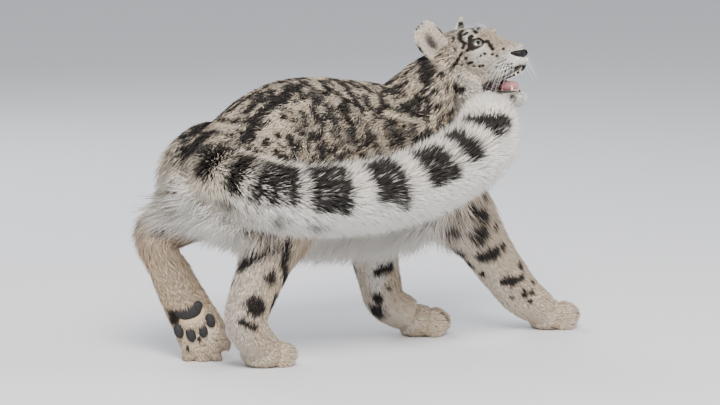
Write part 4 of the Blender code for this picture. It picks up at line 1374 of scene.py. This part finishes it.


# Ears: dark rim and back with a pale patch, pale inside with painted shade in the depth of the cup
def earColours(points, side):
    base, long, axis, face, wide = earFrame(side)
    local = headPlaces(points) - np.array(base)
    up = local @ np.array(axis) / long
    aside = np.abs(local @ np.array(wide)) / (ear["width"] / 2)
    cup = ear["deep"] * (1 - aside ** 2) * (1 - ear["flatter"] * np.clip(up, 0, 1))
    inside = ramp(local @ np.array(face) + cup, -0.0006, 0.0006) > 0.5
    rim = np.maximum(ramp(aside, 0.72, 0.92), ramp(up, 0.78, 0.95))
    innerRim = 0.95 * np.maximum(ramp(aside, 0.84, 0.96), ramp(up, 0.92, 0.99))
    patch = (1 - ramp(np.hypot(aside, (up - 0.70) * 1.3), 0.42, 0.62)) * 0.98
    # Painted shade deep in the ear's cup, darkest low in its middle
    cupShade = (1 - ramp(np.hypot(aside * 1.2, (up - 0.30) * 1.3), 0.15, 0.70)) * 0.72
    mark = np.where(inside, np.maximum(cupShade, innerRim), np.where(rim > 0, 1.0, 0.98 - patch))
    return np.stack([mark, np.where(inside, 0.42, 0.75), np.where(inside, 0.60, 0.3)], 1)


overSkin, overFace = 0.008, 0.002    # colours are read this far over the skins
points, normals = pointsOf(skin.data), normalsOf(skin.data)
setColour(skin.data, "coat", bodyColours(points + normals * overSkin, normals, placed(points)[3]))
points, normals = pointsOf(headSkin.data), normalsOf(headSkin.data)
setColour(headSkin.data, "coat", faceColours(points + normals * overFace, normals))
for side, obj in ears.items():
    setColour(obj.data, "coat", earColours(pointsOf(obj.data), side))
print("coat colours set")


# Coat: thin three-sided tufts that leave the skin at an angle and bend over to the lie of the coat
tuft = {
    "faces": ((0, 2, 1), (0, 3, 2), (0, 1, 3), (1, 2, 4), (2, 3, 4), (3, 1, 4)),
    "corners": (-math.pi / 2, math.pi / 6, 5 * math.pi / 6),
    "elbow": 0.42,    # share of the length at which it bends
    "flat": 0.20,
    "rootDepth": 0.0015,
    "lengthPlay": (0.72, 1.22),
    "widthPlay": (0.75, 1.25),
    "liftPlay": (0.6, 1.4),
    "elbowPull": 0.4,
    "elbowTip": 0.3,    # share of the tip's colour at the bend
    "uv": ((0.0015, 0), (0, 0.0015), (0.0015, 0.001), (0.003, 0.0015), (0.0015, 0.003)),
}
coats = []


# For each point the middle of the clump that it belongs to
def clumped(points, size):
    cell = np.floor(points / size)
    key = (cell @ np.array((127.1, 311.7, 74.7))) % 9973
    jitter = np.stack([(np.sin(key * k) * 43758.5453) % 1 for k in (1.13, 2.37, 3.71)], 1)
    return (cell + 0.2 + 0.6 * jitter) * size


def turned(lie, outs, angle):
    return lie * np.cos(angle)[:, None] + outs * np.sin(angle)[:, None]


# One coat piece. size holds length, width and lift, colours the coat near the root and at the tip
def makeTufts(name, roots, outs, lie, size, colours, spot, clump=0.35, clumpSize=0.013, sag=0.0, wild=0.12,
              bend=0.35):
    count = len(roots)
    lie = unit(lie - outs * (lie * outs).sum(1, keepdims=True))
    sway = (0.55 * ripple(roots, 0.035, 31) + 0.45 * ripple(roots, 0.014, 32)) * wild * 1.6
    sway += chance.normal(0, wild, count)
    lie = turned(lie, np.cross(outs, lie), sway)
    side = np.cross(outs, lie)
    length, width, lift = (values * chance.uniform(*tuft[part + "Play"], count)
                           for values, part in zip(size, ("length", "width", "lift")))
    second = turned(lie, outs, lift * bend)
    second[:, 2] -= sag
    middle = roots + turned(lie, outs, lift) * (length * tuft["elbow"])[:, None]
    tip = middle + unit(second) * (length * (1 - tuft["elbow"]))[:, None]
    pull = clumped(roots, clumpSize) - roots
    pull -= outs * (pull * outs).sum(1, keepdims=True)
    tip += pull * clump
    middle += pull * clump * tuft["elbowPull"]
    points = np.empty((count, 5, 3))
    points[:, 0] = roots - outs * tuft["rootDepth"]
    for k, angle in enumerate(tuft["corners"]):
        across, over = math.cos(angle) * width / 2, math.sin(angle) * width * tuft["flat"]
        points[:, 1 + k] = middle + side * across[:, None] + outs * over[:, None]
    points[:, 4] = tip
    points[:, :, 2] = np.maximum(points[:, :, 2], look["tuftsOverFloor"] - shift.z)
    faces = (np.array(tuft["faces"])[None] + 5 * np.arange(count)[:, None, None]).reshape(-1, 3)
    mesh = bpy.data.meshes.new(name)
    mesh.vertices.add(count * 5)
    mesh.vertices.foreach_set("co", points.astype(np.float32).ravel())
    mesh.loops.add(len(faces) * 3)
    mesh.loops.foreach_set("vertex_index", faces.astype(np.int32).ravel())
    mesh.polygons.add(len(faces))
    mesh.polygons.foreach_set("loop_start", np.arange(len(faces), dtype=np.int32) * 3)
    mesh.polygons.foreach_set("loop_total", np.full(len(faces), 3, np.int32))
    mesh.update(calc_edges=True)
    smoothShade(mesh)
    both = np.repeat(colours[0][:, None], 5, 1)
    both[:, 4] = colours[1]
    both[:, 1:4] = (1 - tuft["elbowTip"]) * colours[0][:, None] + tuft["elbowTip"] * colours[1][:, None]
    setColour(mesh, "coat", both.reshape(-1, 3))
    along = np.tile(np.array((0, 0.4, 0.4, 0.4, 1.0)), count)
    random = np.repeat(chance.uniform(0, 1, count), 5)
    shade = np.repeat(0.5 + 0.5 * ripple(roots, 0.016, 41), 5)
    setColour(mesh, "strand", np.stack([along, random, shade], 1))
    flat = (np.clip(spot, 0, 0.997)[:, None] + np.array(tuft["uv"])[None]).reshape(-1, 2)
    layer = mesh.uv_layers.new(name="OFBake")
    layer.data.foreach_set("uv", flat[faces.ravel()].astype(np.float32).ravel())
    obj = bpy.data.objects.new(name, mesh)
    scene.collection.objects.link(obj)
    coats.append(obj)


def surfaceTree(obj):
    mesh = obj.data
    return BVHTree.FromPolygons([v.co for v in mesh.vertices], [tuple(p.vertices) for p in mesh.polygons])


skinTree, headTree, padTree, noseTree = (surfaceTree(obj) for obj in (skin, headSkin, pads, nose))


# Which of the tried points lie inside a closed surface, by more than gap
def within(tree, points, tried, gap):
    inside = np.zeros(len(points), bool)
    for i in np.nonzero(tried)[0]:
        place, normal = tree.find_nearest(Vector(points[i]))[:2]
        inside[i] = (Vector(points[i]) - place).dot(normal) < -gap
    return inside


# Which of the tried points lie nearer to a surface than gap
def closeTo(tree, points, tried, gap):
    close = np.zeros(len(points), bool)
    for i in np.nonzero(tried)[0]:
        close[i] = tree.find_nearest(Vector(points[i]))[3] < gap
    return close


# Values spread between 0 and 0.99, for the places of tufts on the bake's map
def spread(values):
    low, high = values.min(), values.max()
    return (values - low) / max(high - low, 1e-9) * 0.99


# Body coat: hair lengths, widths and lifts by region, in metres and radians, and what some places add
bodyCoat = {
    "count": 176000,
    "pieceTufts": 30000,
    "paws": 1.5,    # times as dense under these heights
    "pawsUnder": 0.22,
    "feet": 2.2,
    "feetUnder": 0.07,
    "tailTip": 1.7,
    "wild": 0.13,
    "trunkWilder": 0.10,
    "bend": 0.35,
    "tailBend": 0.62,
}
hairLong = {
    "trunk": 0.022, "flank": 0.008, "belly": 0.066, "chest": 0.018, "neck": 0.030, "throat": 0.012,
    "leg": 0.0190, "thigh": 0.022, "behind": 0.016, "haunch": 0.034, "elbow": 0.022, "paw": 0.0130,
    "tail": 0.042, "tipLess": 0.014,
}
hairWide = {
    "trunk": 0.0030, "belly": 0.0010, "neck": 0.0034, "leg": 0.0024, "thigh": 0.0010, "paw": 0.0022,
    "tail": 0.0046,
}
hairLift = {
    "trunk": 0.36, "belly": 0.62, "neck": 0.42, "leg": 0.40, "paw": 0.42, "tail": 1.12, "haunch": 0.30,
}
hairSag = {"trunk": 0.50, "tail": 0.22, "neck": 0.15}


def bodyDensity(points, outs):
    height = points[:, 2]
    dense = np.where(height < bodyCoat["pawsUnder"], bodyCoat["paws"], 1.0)
    dense = np.where(height < bodyCoat["feetUnder"], bodyCoat["feet"], dense)
    return np.where(nearestOf(points, tailRegion["places"])[1] < tailCore, bodyCoat["tailTip"], dense)


roots, outs = scattered(skin, bodyCoat["count"], bodyDensity)
headMiddle = np.array(headPlace @ Vector((-0.13, 0, 0.01)))
keep = ~within(headTree, roots, np.linalg.norm(roots - headMiddle, axis=1) < 0.16, gap=0.004)
keep &= ~closeTo(padTree, roots, keep & (roots[:, 2] < 0.13), gap=0.0050)
roots, outs = roots[keep], outs[keep]
best, share, lie, shares = placed(roots)
x, z = roots[:, 0], roots[:, 2]
trunkPart, neckPart, tailPart = shares["trunk"], shares["neck"], shares["tail"]
pawPart = legShare(shares, legs=False)
legPart = legShare(shares) - pawPart
flank = 1 - np.abs(outs[:, 2])
chestFront = chestShare(roots, outs) * trunkPart
under = ramp(-outs[:, 2], 0.1, 0.7)
lower = ramp(z, 0.42, 0.28)
rear = ramp(-outs[:, 0], 0.2, 0.8) * ramp(x, 0.02, -0.06)
haunch = rear * ramp(z, 0.27, 0.33) * ramp(z, 0.52, 0.44)
elbow = ramp(-outs[:, 0], -0.1, 0.6) * ramp(x, 0.36, 0.42) * ramp(z, 0.20, 0.26) * legShare(shares)
lie = lie + trunkPart[:, None] * flank[:, None] * np.array((0, 0, -0.75))
lie = lie * (1 - 0.8 * chestFront[:, None]) + chestFront[:, None] * np.array((-0.2, 0, -1.0))
belly = hairLong["belly"] * np.maximum(under, lower * 0.7)
thigh, behind = hairLong["thigh"] * ramp(z, 0.12, 0.34), hairLong["behind"] * rear * ramp(z, 0.24, 0.34)
length = trunkPart * (hairLong["trunk"] + hairLong["flank"] * flank + belly + hairLong["chest"] * chestFront)
length += neckPart * (hairLong["neck"] + hairLong["throat"] * under)
length += legPart * (hairLong["leg"] + thigh + behind)
length += hairLong["haunch"] * haunch * (1 - tailPart)
length += hairLong["elbow"] * elbow
tailLength = hairLong["tail"] - hairLong["tipLess"] * ramp(share, 0.92, 1.0)
length += pawPart * hairLong["paw"] + tailPart * tailLength
width = trunkPart * (hairWide["trunk"] + hairWide["belly"] * under) + neckPart * hairWide["neck"]
width += legPart * (hairWide["leg"] + hairWide["thigh"] * ramp(z, 0.1, 0.4))
width += pawPart * hairWide["paw"] + tailPart * hairWide["tail"]
lift = trunkPart * (hairLift["trunk"] + hairLift["belly"] * under) + neckPart * hairLift["neck"]
lift += legPart * hairLift["leg"] + pawPart * hairLift["paw"]
lift += tailPart * hairLift["tail"] + hairLift["haunch"] * haunch * (1 - tailPart)
sag = hairSag["trunk"] * trunkPart * np.maximum(under, lower * 0.6)
sag += hairSag["tail"] * tailPart * ramp(-outs[:, 2], -0.6, 0.2) + hairSag["neck"] * neckPart
reach = unit(lie) * length[:, None]
rise = outs * (0.010 * (1 - pawPart))[:, None]
nearColours = bodyColours(roots + rise * 0.8 + reach * 0.25, outs, shares)
tipColours = bodyColours(roots + rise + reach * 0.62, outs, shares)
turn = np.arctan2(outs[:, 2], outs[:, 1]) / math.tau + 0.5
for r, name in enumerate(regionNames):
    mine = np.nonzero(best == r)[0]
    if not len(mine):
        continue
    order = mine[np.argsort(share[mine])]
    pieces = max(1, math.ceil(len(order) / bodyCoat["pieceTufts"]))
    for k, part in enumerate(np.array_split(order, pieces)):
        spot = np.stack([spread(turn[part]), spread(share[part])], 1)
        size, colours = (length[part], width[part], lift[part]), (nearColours[part], tipColours[part])
        wild = bodyCoat["wild"] + bodyCoat["trunkWilder"] * (name == "trunk")
        makeTufts(f"coat_{name}_{k + 1}", roots[part], outs[part], lie[part], size, colours, spot,
                  sag=sag[part], wild=wild, bend=bodyCoat["tailBend" if name == "tail" else "bend"])
print("body coat", len(roots), "tufts")

# Face and head coat, with long hair on the cheeks and none in the mouth, on the nose or in the eyes
headCoat = {
    "count": 42000,
    "denserFace": 1.6,
    "eyeBare": (0.0215, 0.0085),    # nearer than the first and further out than the second
    "noseBare": ((-0.009, 0, 0.001), (0.0150, 0.0195, 0.0145)),
    "long": 0.0070, "back": 0.011, "cheekLong": 0.017, "chinLong": 0.013,
    "wide": 0.0014, "backWide": 0.0010, "cheekWide": 0.0008,
    "lift": 0.34, "cheekLift": 0.16, "chinLift": 0.20,
}
eyePlace = np.array(eye["place"])


def headDensity(points, outs):
    return 1.0 + headCoat["denserFace"] * ramp(headPlaces(points)[:, 0], -0.11, -0.06)


roots, outs = scattered(headSkin, headCoat["count"], headDensity)
local = headPlaces(roots)
fold, eyeFar = folded(local)
x, y, z = fold.T
eyeOut = (fold - eyePlace) @ unit(np.array(eye["aim"]))
inEye = (eyeFar < headCoat["eyeBare"][0]) & (eyeOut > headCoat["eyeBare"][1])
noseMiddle, noseRadii = (np.array(row) for row in headCoat["noseBare"])
onNose = np.linalg.norm((local - noseMiddle) / noseRadii, axis=1) < 1.0
onNose |= closeTo(noseTree, roots, ~onNose, gap=0.0010)
facing = outs @ np.array(headTurn)[:, 2]
mouth = (y < 0.034) & (z < -0.030) & (z > -0.070) & (x > -0.13) & (x < -0.03)
inMouth = mouth & ((facing > 0.35) | (facing < -0.55) & (z > -0.048))
keep = ~(inEye | onNose | inMouth) & ~within(skinTree, roots, x < -0.135, gap=0.004)
roots, outs, local, fold, eyeFar = (rows[keep] for rows in (roots, outs, local, fold, eyeFar))
x, y, z = fold.T
sideWay = np.sign(local[:, 1])
cheek = ramp(y, 0.028, 0.055) * ramp(-x, 0.09, 0.14) * ramp(z, 0.10, 0.02)
chin = ramp(z, -0.050, -0.075)
way = np.stack([np.full(len(x), -1.0), sideWay * (0.22 + 0.25 * cheek), -0.15 - 0.60 * cheek - 0.5 * chin], 1)
awayEye = fold - eyePlace
awayEye[:, 1] *= sideWay
nearEye = (1 - ramp(eyeFar, 0.018, 0.036))[:, None]
way = way * (1 - 0.6 * nearEye) + unit(awayEye) * 0.8 * nearEye
lie = unit(way) @ np.array(headTurn).T
length = headCoat["long"] + headCoat["back"] * ramp(-x, 0.07, 0.16)
length += headCoat["cheekLong"] * cheek * ramp(-x, 0.11, 0.17) + headCoat["chinLong"] * chin
length *= 0.45 + 0.55 * ramp(eyeFar, 0.016, 0.040)
length *= 0.55 + 0.45 * ramp(-x, 0.012, 0.045)
width = headCoat["wide"] + headCoat["backWide"] * ramp(-x, 0.05, 0.13) + headCoat["cheekWide"] * cheek
lift = headCoat["lift"] + headCoat["cheekLift"] * cheek + headCoat["chinLift"] * chin
colours = [faceColours(roots + lie * (length * k)[:, None], outs) for k in (0.15, 0.50)]
spot = np.stack([spread(x), (np.arctan2(z, local[:, 1]) / math.tau + 0.5) * 0.99], 1)
for k, part in enumerate(np.array_split(np.argsort(x), 2)):
    size = (length[part], width[part], lift[part])
    makeTufts(f"coat_head_{k + 1}", roots[part], outs[part], lie[part], size, [c[part] for c in colours],
              spot[part], clump=0.22, clumpSize=0.008, sag=0.10 * chin[part])
print("head coat", len(roots), "tufts")

# Ears: short hair behind, long pale hair inside the cup
earCoat = {
    "count": 5000,
    "rootOver": -0.008,
    "long": (0.013, 0.0085),    # inside and behind
    "lift": (0.55, 0.25),
    "outward": 0.35,
    "wide": 0.0014,
}
for side, obj in ears.items():
    roots, outs = scattered(obj, earCoat["count"], lambda p, n: np.ones(len(p)))
    base, long, axis = earFrame(side)[:3]
    above = (headPlaces(roots) - np.array(base)) @ np.array(axis) > earCoat["rootOver"]
    roots, outs = roots[above], outs[above]
    face = np.array(headTurn @ mirrored(ear["face"], side).normalized())
    inner = outs @ face > 0.15
    colours = earColours(roots, side)
    length = np.where(inner, *earCoat["long"]) * (0.5 + 0.5 * ramp(colours[:, 0], 0.9, 0.1))
    lie = np.array(headTurn @ axis) + np.where(inner, earCoat["outward"], 0.0)[:, None] * face
    width, lift = np.full(len(roots), earCoat["wide"]), np.where(inner, *earCoat["lift"])
    spot = np.stack([spread(roots[:, 0]), spread(roots[:, 2])], 1)
    makeTufts("coat_ear_" + ("left" if side > 0 else "right"), roots, outs, lie, (length, width, lift),
              (colours, colours), spot, clump=0.2, clumpSize=0.008, wild=0.16)
print("ear coats made")

# Whiskers, and bristles over the eyes: edges along their paths, made round and tapered by a node tree
hairForm = {
    "rootRadius": 0.00042,
    "around": 6,
    "steps": 9,
    "taper": 0.85,
    "rows": 4,
    "perRow": 6,
    "firstRoot": Vector((-0.022, 0.0255, 0.001)),
    "alongRow": Vector((-0.0060, 0.0020, 0.0006)),
    "nextRow": Vector((0, 0, -0.0052)),
    "long": (0.050, 0.082),
    "droop": Vector((-0.018, 0, -0.020)),
    "bristles": 4,
    "bristleRoot": Vector((-0.074, 0.028, 0.089)),
    "nextBristle": Vector((-0.004, 0.003, 0)),
    "bristleDroop": Vector((-0.012, 0, -0.012)),
    "bristleThick": 0.8,
}
ticks = [i / (hairForm["steps"] - 1) for i in range(hairForm["steps"])]
hairPoints, hairEdges, hairShare = [], [], []


# One hair from its root along a way, bent by its own weight
def addHair(root, reach, droop, side, thick=1.0):
    start = len(hairPoints)
    hairPoints.extend(tuple(headPlace @ mirrored(root + reach * s + droop * s * s, side)) for s in ticks)
    hairEdges.extend((start + i, start + i + 1) for i in range(len(ticks) - 1))
    hairShare.extend(thick * (1 - hairForm["taper"] * s) for s in ticks)


# Node tree that turns edges into closed tapered tubes; the share attribute scales the radius
def hairTree():
    tree = bpy.data.node_groups.new("hairs", "GeometryNodeTree")
    tree.interface.new_socket("Geometry", in_out="INPUT", socket_type="NodeSocketGeometry")
    for socketName, kind in (("Root Radius", "Float"), ("Around", "Int"), ("Material", "Material")):
        tree.interface.new_socket(socketName, in_out="INPUT", socket_type="NodeSocket" + kind)
    tree.interface.new_socket("Geometry", in_out="OUTPUT", socket_type="NodeSocketGeometry")

    given = addNode(tree, "NodeGroupInput", {})
    curve = addNode(tree, "GeometryNodeMeshToCurve", {"Mesh": given["Geometry"]})[0]
    share = addNode(tree, "GeometryNodeInputNamedAttribute", {"Name": "share"})["Attribute"]
    radius = Value(tree, share) * Value(tree, given["Root Radius"])
    sized = addNode(tree, "GeometryNodeSetCurveRadius", {"Curve": curve, "Radius": radius})[0]
    ringInputs = {"Resolution": given["Around"], "Radius": 1.0}
    ring = addNode(tree, "GeometryNodeCurvePrimitiveCircle", ringInputs)[0]
    tubeInputs = {"Curve": sized, "Profile Curve": ring, "Fill Caps": True, "Scale": radius}
    tube = addNode(tree, "GeometryNodeCurveToMesh", tubeInputs)[0]
    whole = addNode(tree, "GeometryNodeRealizeInstances", {"Geometry": tube})[0]
    painted = addNode(tree, "GeometryNodeSetMaterial", {"Geometry": whole, "Material": given["Material"]})[0]
    addNode(tree, "NodeGroupOutput", {"Geometry": painted})
    return tree


for side in sides:
    for row in range(hairForm["rows"]):
        for k in range(hairForm["perRow"]):
            root = hairForm["firstRoot"] + hairForm["nextRow"] * row + hairForm["alongRow"] * k
            root = headPlace.inverted() @ headTree.find_nearest(headPlace @ mirrored(root, side))[0]
            root.y = abs(root.y)
            long = chance.uniform(*hairForm["long"]) * (0.75 + 0.25 * (k / 5))
            out = Vector((0.25 - 0.10 * k, 1.0, -0.22 - 0.14 * row + chance.uniform(-0.1, 0.1))).normalized()
            addHair(root, out * long, hairForm["droop"], side)
    for k in range(hairForm["bristles"]):
        root = hairForm["bristleRoot"] + hairForm["nextBristle"] * k
        reach = Vector((-0.012, 0.010 + 0.004 * k, 0.034))
        addHair(root, reach, hairForm["bristleDroop"], side, hairForm["bristleThick"])
hairMesh = bpy.data.meshes.new("whiskers")
hairMesh.from_pydata(hairPoints, hairEdges, [])
hairMesh.attributes.new("share", "FLOAT", "POINT").data.foreach_set("value", hairShare)
whiskers = bpy.data.objects.new("whiskers", hairMesh)
scene.collection.objects.link(whiskers)
grow = whiskers.modifiers.new("hairs", "NODES")
grow.node_group = hairTree()
hairInputs = {
    "Root Radius": hairForm["rootRadius"],
    "Around": hairForm["around"],
    "Material": plain["whiskers"],
}
for socket in grow.node_group.interface.items_tree:
    if socket.name in hairInputs:
        grow[socket.identifier] = hairInputs[socket.name]
applied(whiskers)
faceOutward(whiskers.data)
smoothShade(whiskers.data)
print("whiskers made", len(whiskers.data.polygons), "faces")


# Gives a piece its material, moves it onto the frame and lets it stand for the named nodes
def dress(obj, material, slotName, *nodes):
    obj.data.materials.clear()
    obj.data.materials.append(material)
    obj.data.transform(Matrix.Translation(shift))
    places = pointsOf(obj.data)
    places[:, 2] = np.maximum(places[:, 2], look["overFloor"])
    setPoints(obj.data, places)
    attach(obj, "root")
    if nodes:
        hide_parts(*nodes)


dress(skin, skinPaint, "coat", "torso", "neck", "tail_1", "tail_2", "tail_3", "tail_4",
      "foreleg_left", "foreleg_right", "forepaw_left", "forepaw_right",
      "hindleg_left", "hindleg_right", "hindpaw_left", "hindpaw_right")
dress(headSkin, skinPaint, "coat", "head")
dress(ears[1], skinPaint, "coat", "ear_left")
dress(ears[-1], skinPaint, "coat", "ear_right")
dress(eyes[1], eyePaint.material, "eye", "eye_left")
dress(eyes[-1], eyePaint.material, "eye", "eye_right")
dress(lidRims, plain["lidRims"], "nose_leather")
dress(nose, plain["noseLeather"], "nose_leather", "nose")
dress(lips, plain["lips"], "nose_leather")
dress(pads, plain["pads"], "nose_leather")
dress(tongue, plain["tongue"], "tongue", "tongue")
dress(teeth, plain["teeth"], "eye")
dress(shadeLining, plain["mouthShadeLining"], "nose_leather")
dress(whiskers, plain["whiskers"], "coat")
for obj in coats:
    dress(obj, tuftPaint, "coat")
print("pieces dressed")

# Plain floor and soft studio light: place, size, power and colour of each lamp
studio = {
    "floorHalf": 30,
    "sky": (0.84, 0.87, 0.93, 1),
    "skyStrength": 0.75,
    "lampAim": Vector((0, 0, 0.4)),
    "lamps": {
        "key": ((-3.2, -3.4, 4.2), 2.4, 600, (1.0, 0.97, 0.93)),
        "fill": ((3.4, -3.6, 2.4), 3.5, 130, (1, 1, 1)),
        "back": ((1.0, 4.2, 3.6), 3.0, 150, (0.92, 0.96, 1.0)),
    },
}
floorMesh = bpy.data.meshes.new("floor")
half = studio["floorHalf"]
floorCorners = [(-half, -half, 0), (half, -half, 0), (half, half, 0), (-half, half, 0)]
floorMesh.from_pydata(floorCorners, [], [(0, 1, 2, 3)])
floorMesh.materials.append(plain["floor"])
floor = bpy.data.objects.new("floor", floorMesh)
scene.collection.objects.link(floor)
world = bpy.data.worlds.new("studio")
world.use_nodes = True
world.node_tree.nodes["Background"].inputs[0].default_value = studio["sky"]
world.node_tree.nodes["Background"].inputs[1].default_value = studio["skyStrength"]
scene.world = world
for name, (place, size, power, colour) in studio["lamps"].items():
    light = bpy.data.lights.new(name, "AREA")
    light.size = size
    light.energy = power
    light.color = colour
    lamp = bpy.data.objects.new(name, light)
    lamp.location = place
    lamp.rotation_mode = "QUATERNION"
    lamp.rotation_quaternion = (studio["lampAim"] - Vector(place)).to_track_quat("-Z", "Y")
    scene.collection.objects.link(lamp)
print("studio made")

# The photo's framing: degrees round from the right side towards the head end, degrees up, and metres away
framing = {
    "azimuth": -46,
    "height": 7,
    "distance": 7.5,
    "aim": Vector((0.0229, -0.2796, 0.36)),
    "sensor": 36,
    "lens": 178.1,
}
azimuth, height = math.radians(framing["azimuth"]), math.radians(framing["height"])
back = Vector((math.sin(azimuth) * math.cos(height), -math.cos(azimuth) * math.cos(height), math.sin(height)))
camera = bpy.data.objects.new("camera", bpy.data.cameras.new("camera"))
camera.location = framing["aim"] + shift + back * framing["distance"]
camera.rotation_mode = "QUATERNION"
camera.rotation_quaternion = (-back).to_track_quat("-Z", "Y")
camera.data.sensor_width = framing["sensor"]
camera.data.lens = framing["lens"]
scene.collection.objects.link(camera)
scene.camera = camera
